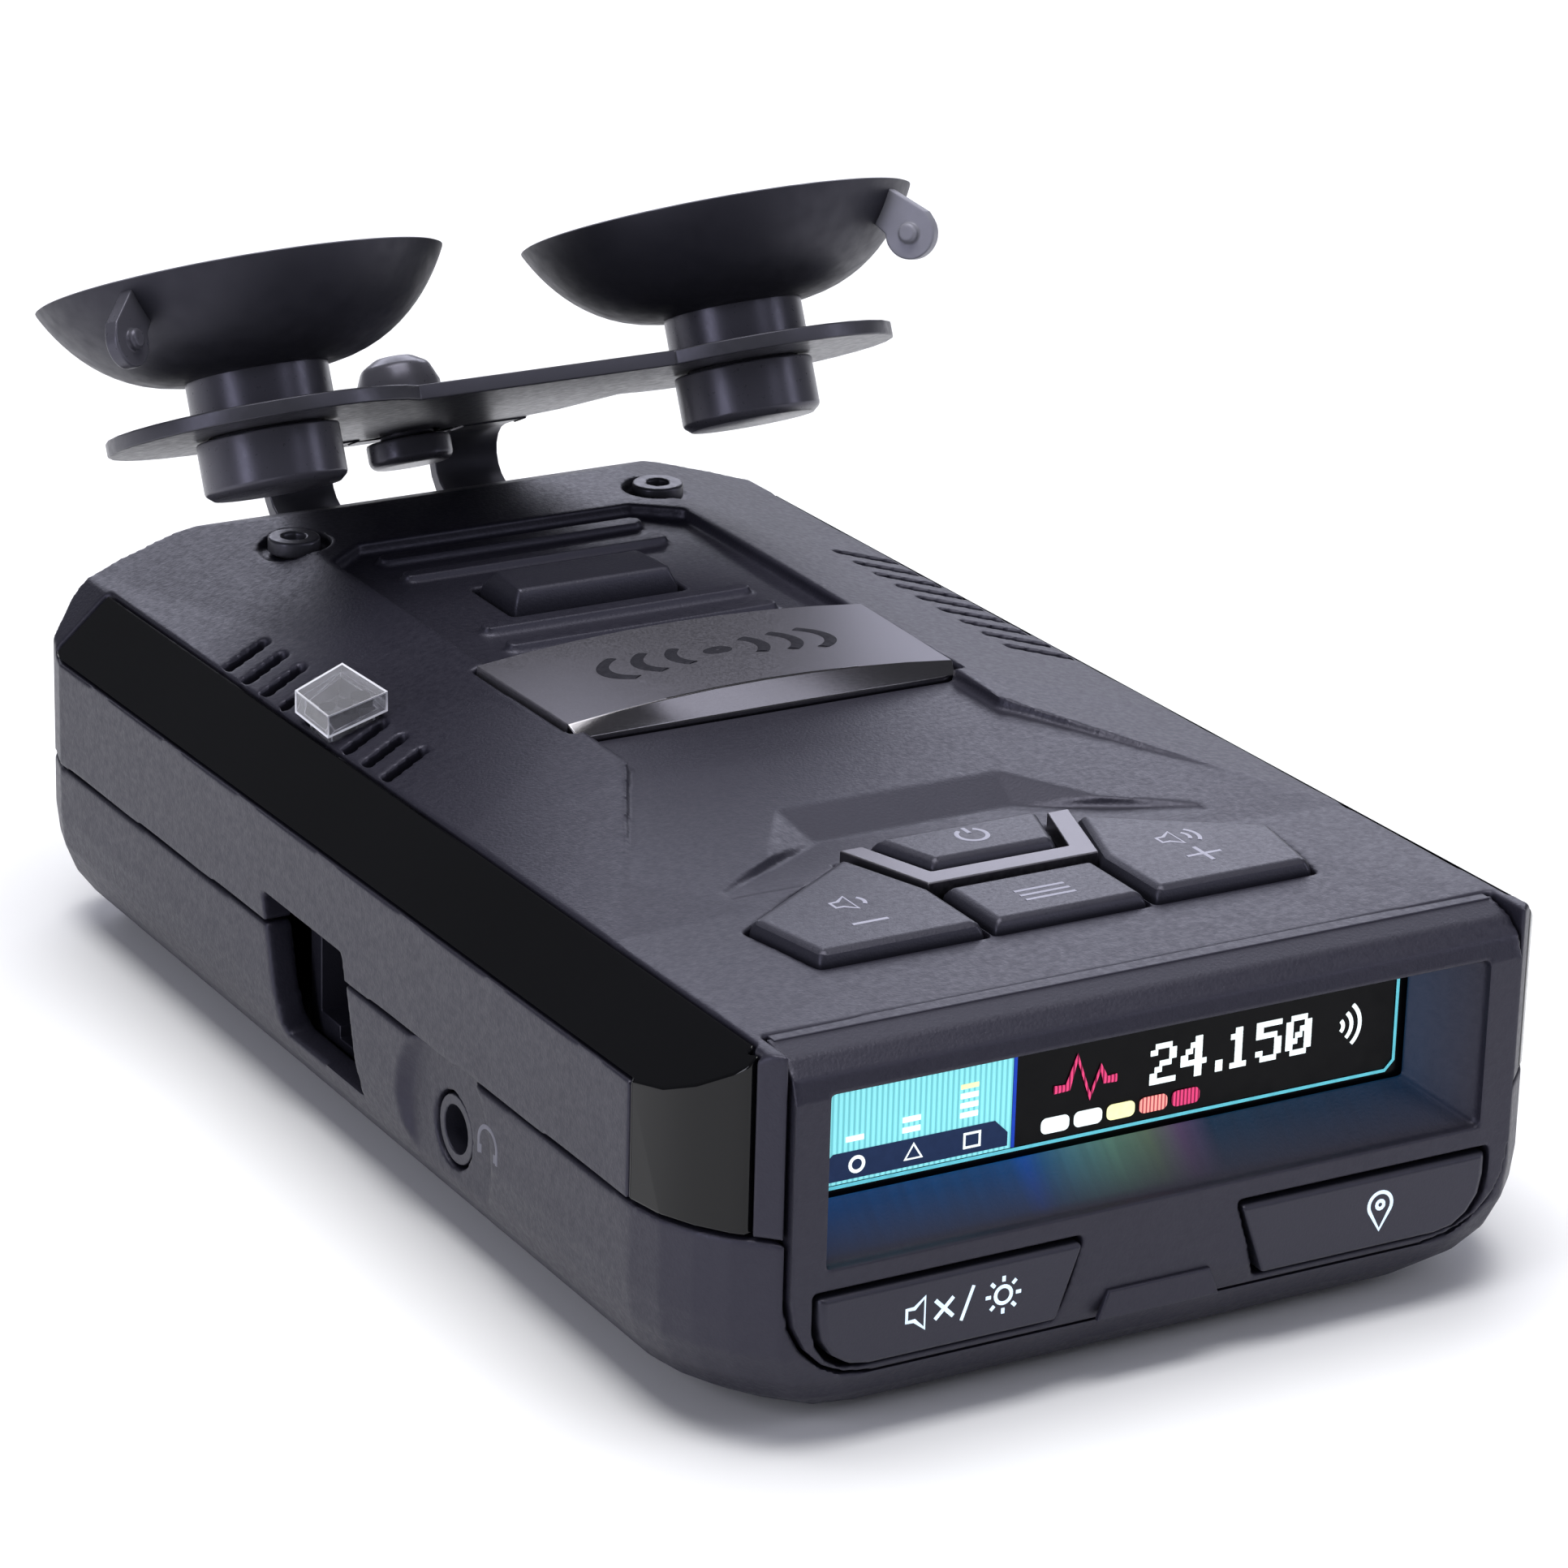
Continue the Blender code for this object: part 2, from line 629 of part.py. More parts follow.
def button_board(green):
    piece("button_board", block((-22, 22), (behind(13), behind(29.5)), (21.4, 22.6)), green)


def button_keypad(silicone):
    """The rubber sheet whose four pads push the deck buttons back up."""
    sheet = block((-21, 21), (behind(13.4), behind(29)), (22.9, 23.7))
    pad = piece("button_keypad", sheet, silicone)
    for x, distance in ((0, 25.6), (0, 16.4), (-13.5, 18.5), (13.5, 18.5)):
        join(pad, rod(2.0, 23.4, 24.5, 12, (x, behind(distance))))


def front_board(green):
    piece("front_board", block((-25.5, 25.5), (behind(7.4), behind(8.6)), (6.2, 25.0)), green)


def front_switches(plastic):
    for name, side in (("mute_switch", -1), ("mark_switch", 1)):
        xs = sorted((side * 14.5, side * 18.5))
        switch = piece(name, block(xs, (behind(5.9), behind(7.1)), (6.6, 10.6)), plastic)
        join(switch, rod(0.9, behind(5.5), behind(6.2), 12, (side * 16.5, 8.6), "Y"))


def duct(stops):
    """A loft through centred rectangles, each given by half its width, its heights and its Y."""
    loops = []
    for half, (low, high), distance in stops:
        corners = ((-half, low), (half, low), (half, high), (-half, high))
        loops.append([(x, behind(distance), z) for x, z in corners])
    return loft(loops)


def horn_antenna(metal):
    """The flared metal horn, open towards the windshield."""
    outside = ((5.0, (5.0, 11.0), 62), (5.0, (5.0, 11.0), 74), (14.5, (3.2, 15.0), 97))
    inside = ((3.8, (6.2, 9.8), 64), (3.8, (6.2, 9.8), 74), (13.4, (4.4, 13.8), 97.5))
    horn = piece("horn_antenna", duct(outside), metal)
    cut(horn, duct(inside))


def receiver_shield(metal):
    can = block((-14, 14), (behind(44), behind(60)), (12.2, 17.3))
    shield = piece("receiver_shield", can, metal)
    cut(shield, block((-13.2, 13.2), (behind(44.8), behind(59.2)), (13.0, 18)))


def speaker(plastic):
    profile = [(0, 2.6), (11.0, 2.6), (12.0, 3.2), (12.0, 4.6), (6.0, 7.6), (6.0, 9.2), (0, 9.2)]
    cone = piece("speaker", turned(profile, 24, (12.0, behind(29))), plastic)
    smooth(cone)


def power_jack(plastic):
    """The modular socket behind the leaning opening in the left side."""
    case = block((-31.2, -19.0), (behind(52.6), behind(68.0)), (5.6, 17.2))
    body = piece("power_jack", case, plastic)
    cut(body, block((-34, -21.0), (behind(54.4), behind(66.2)), (7.4, 15.6)))
    cut(body, block((-34, -24.0), (behind(57.6), behind(63.0)), (6.4, 8.0)))


def audio_jack(plastic):
    case = block((-31.0, -20.0), (behind(35), behind(42.2)), (5.8, 13.0))
    body = piece("audio_jack", case, plastic)
    join(body, rod(2.6, -33.9, -31.0, 24, (behind(AUDIO_JACK[0]), AUDIO_JACK[1]), "X"))
    cut(body, rod(1.8, -40, -21.5, 20, (behind(AUDIO_JACK[0]), AUDIO_JACK[1]), "X"))
    smooth(body)


def laser_sensor(plastic):
    case = block((-28.8, -25.6), (behind(68.5), behind(73.5)), (21.8, 24.8))
    piece("laser_sensor", case, plastic)


# ---------------------------------------------------------------- fasteners and label


def case_screw(name, place, head, tip, steel):
    """A pan-head screw along Z with a socket in its head."""
    way = 1 if head > tip else -1
    ends = sorted((head, head - way * 1.3))
    screw = piece(name, rod(2.1, ends[0], ends[1], 20, place), steel)
    join(screw, rod(1.0, *sorted((head - way * 1.0, tip)), 12, place))
    cut(screw, rod(1.0, *sorted((head - way * 0.8, head + way)), 6, place))
    smooth(screw)


def rating_label(paper):
    piece("rating_label", block((-16.7, 16.7), (behind(70), behind(92)), (0.05, 0.3)), paper)


# ---------------------------------------------------------------- bracket


def on_plate(x, down, height):
    """A point given across, down and above the tilted bracket plate."""
    distance, middle = BRACKET_CENTRE
    y = behind(distance) + down * math.cos(BRACKET_TILT) + height * math.sin(BRACKET_TILT)
    z = middle - down * math.sin(BRACKET_TILT) + height * math.cos(BRACKET_TILT)
    return Vector((x, y, z))


def tilt_matrix(x, down=0.0):
    """The matrix that carries Z-up shapes onto the plate, at this place."""
    turn = Matrix.Rotation(-BRACKET_TILT, 4, "X")
    return Matrix.Translation(on_plate(x, down, 0) * MM) @ turn


def tilted(mesh, x, down=0.0):
    bmesh.ops.transform(mesh, matrix=tilt_matrix(x, down), verts=mesh.verts)
    return mesh


def leg_outline():
    """The legs from the side: along the plate, round the bend and back into the case."""
    bend = 23.0
    radius = 3.3
    centre = on_plate(0, bend, -radius)
    half = LEG_THICKNESS / 2
    first = 90 - math.degrees(BRACKET_TILT)
    outside = arc((centre.y, centre.z), radius + half, first, -90, 8)
    inside = arc((centre.y, centre.z), radius - half, -90, first, 8)
    edge = on_plate(0, bend - 4, half), on_plate(0, bend - 4, -half)
    low = centre.z - radius
    tongue = [(behind(TONGUE_END), low - half), (behind(TONGUE_END), low + half)]
    outline = [(edge[0].y, edge[0].z)] + outside + tongue + inside + [(edge[1].y, edge[1].z)]
    return outline


def mount_bracket(steel):
    """The plate with a disc round each cup, and two legs that slide into the case."""
    half = PLATE_THICKNESS / 2
    front = math.degrees(math.asin(FRONT_EDGE / DISC_RADIUS))
    right = arc((CUP_OFFSET, 0), DISC_RADIUS, front - 180, 118, 22)
    right += [(12.6, 17.0), (LEG_OUTER + 0.1, 18.6), (LEG_OUTER + 0.1, 21.5)]
    right += [(LEG_INNER - 0.5, 21.5), (LEG_INNER - 0.5, 24.4)]
    outline = right + [(-x, down) for x, down in reversed(right)]
    plate = piece("mount_bracket", tilted(slab(outline, -half, half), 0), steel)
    for side in (-1, 1):
        join(plate, beam(leg_outline(), *sorted((side * LEG_INNER, side * LEG_OUTER))))
    for side in (-1, 1):
        cut(plate, tilted(rod(GROOVE_RADIUS + CLEARANCE, -3, 3, 24), side * CUP_OFFSET))
    cut(plate, tilted(rod(2.6, -3, 3, 16), 0, 20.0))
    smooth(plate)


def bumper(rubber):
    """The stop that keeps the detector off the glass."""
    profile = [(0, -3.2), (3.0, -3.2), (3.5, -2.8), (3.5, -1.0), (2.2, -1.0), (2.2, 1.0)]
    profile += [(3.5, 1.0), (3.5, 3.4), (2.8, 5.0), (1.4, 5.8), (0, 5.8)]
    stop = piece("bumper", tilted(turned(profile, 20), 0, 20.0), rubber)
    smooth(stop)


def suction_cup(name, side, tab_angle, rubber):
    """A rubber cup on a grooved stem, with a radial pull tab that ends in a nub."""
    stem = [(0, -4.7), (4.9, -4.7), (STEM_RADIUS, -4.0), (STEM_RADIUS, -0.9)]
    stem += [(GROOVE_RADIUS, -0.9), (GROOVE_RADIUS, 0.9), (STEM_RADIUS, 0.9), (STEM_RADIUS, 3.9)]
    bowl = [(8.6, 4.9), (11.6, 6.6), (14.2, 8.9), (15.9, 11.1), (15.8, 11.3), (14.8, 11.3)]
    hollow = [(13.0, 9.6), (9.6, 8.0), (5.4, 6.9), (0, 6.5)]
    cup = piece(name, turned(stem + bowl + hollow, 32), rubber)
    tab = [(13.2, 8.6), (15.4, 10.7), (18.3, 8.1)] + arc((16.5, 6.7), 2.1, 20, -190, 8)
    plate = bar(tab, -0.55, 0.55)
    turn = Matrix.Rotation(math.radians(tab_angle), 4, "Z")
    bmesh.ops.transform(plate, matrix=turn, verts=plate.verts)
    join(cup, plate)
    nub = rod(0.8, -1.2, 1.2, 10, (16.5, 6.7), "Y")
    bmesh.ops.transform(nub, matrix=turn, verts=nub.verts)
    join(cup, nub)
    seat = bpy.data.objects.new(f"{name}_axis", None)
    seat.matrix_world = tilt_matrix(side * CUP_OFFSET)
    bpy.context.collection.objects.link(seat)
    cup.parent = seat
    for modifier in cup.modifiers:
        modifier.object.parent = seat
    smooth(cup)


# ---------------------------------------------------------------- assembly


def clear_scene():
    for thing in list(bpy.data.objects):
        bpy.data.objects.remove(thing)


def build():
    clear_scene()
    charcoal = material("charcoal_plastic", (0.035, 0.035, 0.042), 0.55)
    gloss = material("gloss_black", (0.006, 0.006, 0.008), 0.08)
    gunmetal = material("gunmetal", (0.16, 0.15, 0.17), 0.25, 1.0)
    chrome = material("satin_chrome", (0.6, 0.6, 0.62), 0.2, 1.0)
    key = material("key_plastic", (0.03, 0.03, 0.036), 0.5)
    clear = material("clear_plastic", (0.85, 0.87, 0.9), 0.05)
    dark = material("dark_lens", (0.02, 0.005, 0.01), 0.1)
    glass = material("display_glass", (0.02, 0.05, 0.08), 0.1)
    green = material("circuit_board", (0.02, 0.14, 0.06), 0.5)
    rubber = material("rubber", (0.02, 0.02, 0.023), 0.7)
    silicone = material("silicone", (0.35, 0.35, 0.36), 0.7)
    steel = material("black_steel", (0.03, 0.03, 0.035), 0.45, 0.6)
    bare = material("bare_metal", (0.62, 0.62, 0.62), 0.35, 1.0)
    paper = material("label_stock", (0.7, 0.7, 0.7), 0.6)

    shell = upper_case(charcoal)
    lower_case(charcoal)
    front_bezel(charcoal)
    gloss_trim("gloss_trim_left", -1, gloss)
    gloss_trim("gloss_trim_right", 1, gloss)
    name_plate(gunmetal)
    button_trim(chrome)
    for name in DECK_BUTTONS:
        deck_button(name, key)
    front_button("mute_button", -1, key)
    front_button("mark_button", 1, key)
    release_button(key)
    release_spring(bare)
    laser_prism(clear)
    rear_lens(dark)
    display_panel(glass)
    main_board(green)
    board_posts_and_screws(shell, bare)
    button_board(green)
    button_keypad(silicone)
    front_board(green)
    front_switches(key)
    horn_antenna(bare)
    receiver_shield(bare)
    speaker(key)
    power_jack(key)
    audio_jack(key)
    laser_sensor(key)
    for side, word in ((-1, "left"), (1, "right")):
        case_screw(f"rear_screw_{word}", screw_place(REAR_SCREW, side), 31.4, 7.0, steel)
        case_screw(f"bottom_screw_{word}", screw_place(BOTTOM_SCREW, side), 0.6, 15.0, steel)
    rating_label(paper)
    mount_bracket(steel)
    bumper(rubber)
    suction_cup("suction_cup_left", -1, -147, rubber)
    suction_cup("suction_cup_right", 1, -52, rubber)


build()
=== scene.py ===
"""Looks of the radar detector: finishes, rounded edges, lit display and printed symbols.

X runs across the detector, -Y faces the driver and +Z is up. Sizes are in millimetres, and
`behind(d)` gives the Y that lies the distance d behind the front face."""

import math

import bpy
from mathutils import Matrix, Vector


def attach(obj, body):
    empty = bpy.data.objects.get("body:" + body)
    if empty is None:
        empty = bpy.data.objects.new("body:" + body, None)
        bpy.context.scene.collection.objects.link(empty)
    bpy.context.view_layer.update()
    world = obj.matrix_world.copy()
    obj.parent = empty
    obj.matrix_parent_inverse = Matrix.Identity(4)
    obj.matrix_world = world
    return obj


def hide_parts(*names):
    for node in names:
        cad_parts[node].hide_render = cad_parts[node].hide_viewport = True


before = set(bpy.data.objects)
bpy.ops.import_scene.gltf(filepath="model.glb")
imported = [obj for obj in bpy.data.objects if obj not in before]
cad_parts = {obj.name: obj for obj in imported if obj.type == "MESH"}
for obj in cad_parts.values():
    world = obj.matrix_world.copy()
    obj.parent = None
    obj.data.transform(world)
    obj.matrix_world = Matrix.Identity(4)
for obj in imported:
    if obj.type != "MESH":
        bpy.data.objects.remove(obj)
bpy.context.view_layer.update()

MM = 0.001
HALF_LENGTH = 57.0


def behind(distance):
    return distance - HALF_LENGTH


# ---------------------------------------------------------------- finishes


class Finish:
    """A Principled material, with short calls for the nodes that vary it."""

    def __init__(self, name, roughness=0.5, metallic=0.0, **sockets):
        self.made = bpy.data.materials.new(name)
        self.made.use_nodes = True
        self.nodes = self.made.node_tree.nodes
        self.link = self.made.node_tree.links.new
        self.shader = self.nodes["Principled BSDF"]
        self.shader.inputs["Roughness"].default_value = roughness
        self.shader.inputs["Metallic"].default_value = metallic
        for socket, value in sockets.items():
            self.shader.inputs[socket.replace("_", " ")].default_value = value
        self.coordinates = self.nodes.new("ShaderNodeTexCoord").outputs["Object"]

    def noise(self, scale, detail=2.0, stretch=(1, 1, 1)):
        place = self.nodes.new("ShaderNodeMapping")
        place.inputs["Scale"].default_value = stretch
        self.link(self.coordinates, place.inputs["Vector"])
        texture = self.nodes.new("ShaderNodeTexNoise")
        texture.inputs["Scale"].default_value = scale
        texture.inputs["Detail"].default_value = detail
        self.link(place.outputs["Vector"], texture.inputs["Vector"])
        return texture.outputs["Fac"]

    def axis(self, letter):
        parts = self.nodes.new("ShaderNodeSeparateXYZ")
        self.link(self.coordinates, parts.inputs["Vector"])
        return parts.outputs[letter]

    def spread(self, source, low, high, start=0.3, end=0.7):
        between = self.nodes.new("ShaderNodeMapRange")
        ends = {"From Min": start, "From Max": end, "To Min": low, "To Max": high}
        for socket, value in ends.items():
            between.inputs[socket].default_value = value
        self.link(source, between.inputs["Value"])
        return between.outputs["Result"]

    def product(self, first, *others):
        for other in others:
            times = self.nodes.new("ShaderNodeMath")
            times.operation = "MULTIPLY"
            self.link(first, times.inputs[0])
            self.link(other, times.inputs[1])
            first = times.outputs["Value"]
        return first

    def ramp(self, source, *stops):
        ramp = self.nodes.new("ShaderNodeValToRGB")
        elements = ramp.color_ramp.elements
        for element, (position, colour) in zip(elements, (stops[0], stops[-1])):
            element.position = position
            element.color = (*colour, 1)
        for position, colour in stops[1:-1]:
            elements.new(position).color = (*colour, 1)
        self.link(source, ramp.inputs["Fac"])
        return ramp.outputs["Color"]

    def colours(self, source, *stops):
        tint = self.ramp(source, *stops)
        self.link(tint, self.shader.inputs["Base Color"])
        return tint

    def rough(self, source, low, high):
        self.link(self.spread(source, low, high), self.shader.inputs["Roughness"])

    def bump(self, source, strength, depth):
        raised = self.nodes.new("ShaderNodeBump")
        raised.inputs["Strength"].default_value = strength
        raised.inputs["Distance"].default_value = depth * MM
        self.link(source, raised.inputs["Height"])
        self.link(raised.outputs["Normal"], self.shader.inputs["Normal"])

    def glow(self, tint, strength=1.0):
        self.link(tint, self.shader.inputs["Emission Color"])
        self.shader.inputs["Emission Strength"].default_value = strength


COOL_SHEEN = (0.82, 0.8, 1.0, 1)
CASE_DARK, CASE_LIGHT = (0.0115, 0.011, 0.0175), (0.0135, 0.013, 0.0205)
CASE_ROUGH = (0.4, 0.52)


def plastic(name, dark, light, rough, grain=4200, relief=0.05, strength=0.5):
    """Moulded plastic with a fine sparkling grain and faint mottling."""
    finish = Finish(name, Specular_Tint=COOL_SHEEN)
    finish.colours(finish.noise(70, 3.0), (0.3, dark), (0.7, light))
    finish.rough(finish.noise(grain / 2, 3.0), *rough)
    finish.bump(finish.noise(grain, 3.0), strength, relief)
    return finish


def moulded(*choices):
    return plastic(*choices).made


def polished(name, dark, light, rough, **sockets):
    """A shiny moulding with the faint waviness of a real one."""
    finish = Finish(name, **sockets)
    finish.colours(finish.noise(40, 2.0), (0.3, dark), (0.7, light))
    finish.rough(finish.noise(900, 4.0), *rough)
    finish.bump(finish.noise(160, 1.0), 0.08, 0.05)
    return finish.made


def brushed(name, dark, light, rough, stretch, grain=2600, strength=0.12, **sockets):
    """Metal with fine lines along one axis."""
    finish = Finish(name, metallic=1.0, **sockets)
    lines = finish.noise(grain, 3.0, stretch)
    finish.colours(lines, (0.3, dark), (0.7, light))
    finish.rough(lines, *rough)
    finish.bump(lines, strength, 0.01)
    return finish.made


def lit(name, colour):
    """A lit mark, a little uneven as its tiny lamps are."""
    finish = Finish(name, roughness=0.6, Specular_IOR_Level=0.1)
    dimmer = [0.86 * channel for channel in colour]
    tint = finish.colours(finish.noise(1500), (0.3, dimmer), (0.7, colour))
    finish.glow(tint)
    return finish.made


def lit_columns(name, dark, light, period=0.42):
    """A lit area of the display, with its fine upright rows of dots."""
    finish = Finish(name, roughness=0.6, Specular_IOR_Level=0.1)
    rows = finish.nodes.new("ShaderNodeTexWave")
    rows.inputs["Scale"].default_value = math.pi / 10 / (period * MM)
    finish.link(finish.coordinates, rows.inputs["Vector"])
    finish.glow(finish.colours(rows.outputs["Fac"], (0.15, dark), (0.6, light)))
    return finish.made


# The display's light, painted as a glow on its recess, by the distance from the middle.
GLOW_REACH = 25
GLOW_HUES = (
    (-25, (0, 0.022, 0.085)), (-14, (0, 0.03, 0.1)), (-10, (0, 0.035, 0.12)),
    (-8.8, (0, 0.045, 0.22)), (-7.5, (0.005, 0.05, 0.12)), (-5, (0.03, 0.1, 0.12)),
    (-2, (0.05, 0.12, 0.09)), (1, (0.05, 0.08, 0.05)), (3.5, (0.05, 0.03, 0.07)),
    (6, (0, 0.015, 0.035)), (25, (0, 0.01, 0.028)),
)


def painted_recess_glow():
    """The bezel's plastic, with the display's light painted as a glow on the walls and floor of its
    recess.
    """
    finish = plastic("charcoal_plastic_painted_glow", CASE_DARK, CASE_LIGHT, CASE_ROUGH)
    x, y, z = (finish.axis(letter) for letter in "XYZ")
    across = finish.spread(x, 0, 1, -GLOW_REACH * MM, GLOW_REACH * MM)
    stops = [((at + GLOW_REACH) / (2 * GLOW_REACH), hue) for at, hue in GLOW_HUES]
    tint = finish.ramp(across, *stops)
    streaks = finish.spread(finish.noise(1400, 2.0, (1, 0.1, 0.1)), 0.88, 1.1)
    fades = (
        (y, 0, 1, behind(0.5), behind(4.0)),
        (z, 0, 1, 13.3, 13.8),
        (z, 1, 0, 25.2, 25.4),
        (x, 0, 1, -26.4, -26.1),
        (x, 1, 0, 26.1, 26.4),
    )
    near, *edges = [
        finish.spread(source, low, high, start * MM, end * MM)
        for source, low, high, start, end in fades
    ]
    scaled = finish.nodes.new("ShaderNodeVectorMath")
    scaled.operation = "SCALE"
    finish.link(tint, scaled.inputs[0])
    finish.link(finish.product(near, streaks, *edges), scaled.inputs["Scale"])
    # Painted glow: the display's light on the recess is emission painted into the bezel, not a
    # lamp.
    finish.glow(scaled.outputs["Vector"], 1.3)
    return finish.made


CHARCOAL = moulded("charcoal_plastic", CASE_DARK, CASE_LIGHT, CASE_ROUGH)
# The bezel's finish carries the display's light as a painted glow on its recess.
BEZEL_PAINTED_GLOW = painted_recess_glow()
KEYS = moulded("key_plastic", (0.014, 0.0138, 0.02), (0.017, 0.0168, 0.024), (0.36, 0.46),
               6000, 0.03)
GLOSS = polished("gloss_black", (0.0012, 0.0012, 0.0015), (0.002, 0.002, 0.0025), (0.06, 0.11),
                 Specular_IOR_Level=0.3)
GUNMETAL = brushed("gunmetal", (0.17, 0.165, 0.19), (0.21, 0.205, 0.235), (0.46, 0.56),
                   (1, 1, 1), 5000, 0.2)
POLISHED_STEEL = brushed("polished_steel", (0.15, 0.145, 0.155), (0.19, 0.185, 0.195),
                         (0.14, 0.2), (1, 30, 1))
CHROME = brushed("satin_chrome", (0.125, 0.12, 0.135), (0.16, 0.155, 0.17), (0.3, 0.4), (1, 30, 1))
BARE = brushed("bare_metal", (0.5, 0.5, 0.5), (0.65, 0.65, 0.65), (0.25, 0.4), (1, 12, 1))
RUBBER = moulded("rubber", (0.009, 0.009, 0.012), (0.012, 0.012, 0.016), (0.42, 0.55),
                 1500, 0.02, 0.2)
STEM_RUBBER = moulded("satin_rubber", (0.05, 0.049, 0.06), (0.056, 0.055, 0.066), (0.27, 0.33),
                      5000, 0.01, 0.06)
THIN_RUBBER = moulded("thin_rubber", (0.17, 0.17, 0.2), (0.21, 0.21, 0.24), (0.35, 0.5),
                      1500, 0.02, 0.2)
STEEL = moulded("black_steel", (0.028, 0.028, 0.033), (0.036, 0.036, 0.042), (0.3, 0.42),
                3000, 0.02, 0.2)
CLEAR = polished("clear_plastic", (0.5, 0.5, 0.54), (0.6, 0.6, 0.64), (0.08, 0.2),
                 Transmission_Weight=0.72, IOR=1.32)
# Painted highlight: a pale finish for the light caught along the clear window's edges.
CLEAR_EDGE_HIGHLIGHT = polished("clear_edge_painted_highlight", (0.7, 0.7, 0.76), (0.85, 0.85, 0.9), (0.15, 0.3))
# Painted shade: a near-black finish put where hollows and engravings lie in shade.
SHADOW = moulded("painted_shade_dark", (0.004, 0.004, 0.005), (0.006, 0.006, 0.008), (0.7, 0.9))
DARK_LENS = polished("dark_lens", (0.01, 0.002, 0.004), (0.02, 0.004, 0.008), (0.04, 0.1))
DISPLAY = polished("display_glass", (0.001, 0.001, 0.0015), (0.002, 0.002, 0.003), (0.3, 0.4),
                   Specular_IOR_Level=0.1)
BOARD = moulded("circuit_board", (0.01, 0.09, 0.035), (0.015, 0.14, 0.05), (0.35, 0.5), 900, 0.02)
SILICONE = moulded("silicone", (0.3, 0.3, 0.31), (0.36, 0.36, 0.37), (0.5, 0.7), 1500)
LABEL = moulded("label_stock", (0.55, 0.55, 0.56), (0.62, 0.62, 0.63), (0.4, 0.55), 2500, 0.01)
PRINT = moulded("pale_print", (0.3, 0.3, 0.37), (0.36, 0.36, 0.43), (0.5, 0.6), 3000, 0.01)
DARK_PRINT = moulded("dark_print", (0.13, 0.13, 0.155), (0.16, 0.16, 0.185), (0.5, 0.6), 3000, 0.01)
BACKLIT = lit("backlit_print", (0.55, 0.66, 0.76))
TURQUOISE = lit_columns("lit_turquoise", (0.12, 0.4, 0.44), (0.21, 0.6, 0.64))
NAVY = lit("lit_navy", (0.011, 0.021, 0.058))
CYAN = lit("lit_cyan", (0.1, 0.42, 0.5))
BLUE = lit("lit_blue", (0.01, 0.04, 0.35))
WHITE = lit("lit_white", (0.78, 0.86, 0.86))
PALE_YELLOW = lit("lit_yellow", (0.8, 0.78, 0.42))
ORANGE = lit_columns("lit_orange", (0.3, 0.05, 0.06), (0.85, 0.3, 0.26), 0.3)
CRIMSON = lit_columns("lit_crimson", (0.16, 0.01, 0.04), (0.62, 0.05, 0.16), 0.3)


# ---------------------------------------------------------------- working on a piece


def work_on(piece):
    for other in bpy.context.selected_objects:
        other.select_set(False)
    bpy.context.view_layer.objects.active = piece
    piece.select_set(True)


def edit_all(piece):
    work_on(piece)
    bpy.ops.object.mode_set(mode="EDIT")
    bpy.ops.mesh.select_all(action="SELECT")


def apply_modifier(piece, kind, **settings):
    work_on(piece)
    modifier = piece.modifiers.new(kind.title(), kind)
    for key, value in settings.items():
        setattr(modifier, key, value)
    bpy.ops.object.modifier_apply(modifier=modifier.name)


def soften(piece, width, angle=28, segments=2):
    """Rounds the edges that turn by more than the angle."""
    apply_modifier(piece, "BEVEL", width=width * MM, segments=segments, limit_method="ANGLE",
                   angle_limit=math.radians(angle), miter_outer="MITER_ARC",
                   use_clamp_overlap=False, harden_normals=False)


def shade(piece, angle=35):
    work_on(piece)
    bpy.ops.object.shade_smooth_by_angle(angle=math.radians(angle))
    apply_modifier(piece, "WEIGHTED_NORMAL", keep_sharp=True, weight=80)


def cleaned(node, name, flat=0.4):
    """A copy of a CAD node with its doubles merged and its flat faces made whole."""
    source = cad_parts[node]
    piece = source.copy()
    piece.data = source.data.copy()
    piece.name = name
    piece.parent = None
    for key in list(piece.keys()):
        del piece[key]
    bpy.context.scene.collection.objects.link(piece)
    edit_all(piece)
    bpy.ops.mesh.remove_doubles(threshold=0.004 * MM)
    bpy.ops.mesh.dissolve_limited(angle_limit=math.radians(flat))
    bpy.ops.object.mode_set(mode="OBJECT")
    return piece


def finished(piece, body, finish, slot, *nodes):
    piece.data.materials.clear()
    piece.data.materials.append(finish)
    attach(piece, body)
    if nodes:
        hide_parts(*nodes)
    return piece


def rounded_copy(node, body, finish, slot, width, angle=28):
    piece = cleaned(node, node + "_moulding")
    if width:
        soften(piece, width, angle)
    shade(piece)
    return finished(piece, body, finish, slot, node)


def recast(node, body, finish, slot, grain, passes, triangles):
    """A CAD piece cast again in fine cells, so that its edges and corners come out rounded."""
    piece = cleaned(node, node + "_moulding")
    apply_modifier(piece, "REMESH", mode="VOXEL", voxel_size=grain * MM)
    apply_modifier(piece, "SMOOTH", factor=0.5, iterations=passes)
    share = triangles / (2 * len(piece.data.polygons))
    if share < 1:
        apply_modifier(piece, "DECIMATE", ratio=share)
    shade(piece, 60)
    return finished(piece, body, finish, slot, node)


def settle(piece, matrix):
    """Puts the piece in its place and works that place into its mesh."""
    work_on(piece)
    piece.matrix_world = matrix
    bpy.ops.object.transform_apply(location=True, rotation=True, scale=True)


def tidy_faces(piece, threshold=0.002):
    edit_all(piece)
    bpy.ops.mesh.remove_doubles(threshold=threshold * MM)
    bpy.ops.mesh.normals_make_consistent(inside=False)
    bpy.ops.object.mode_set(mode="OBJECT")


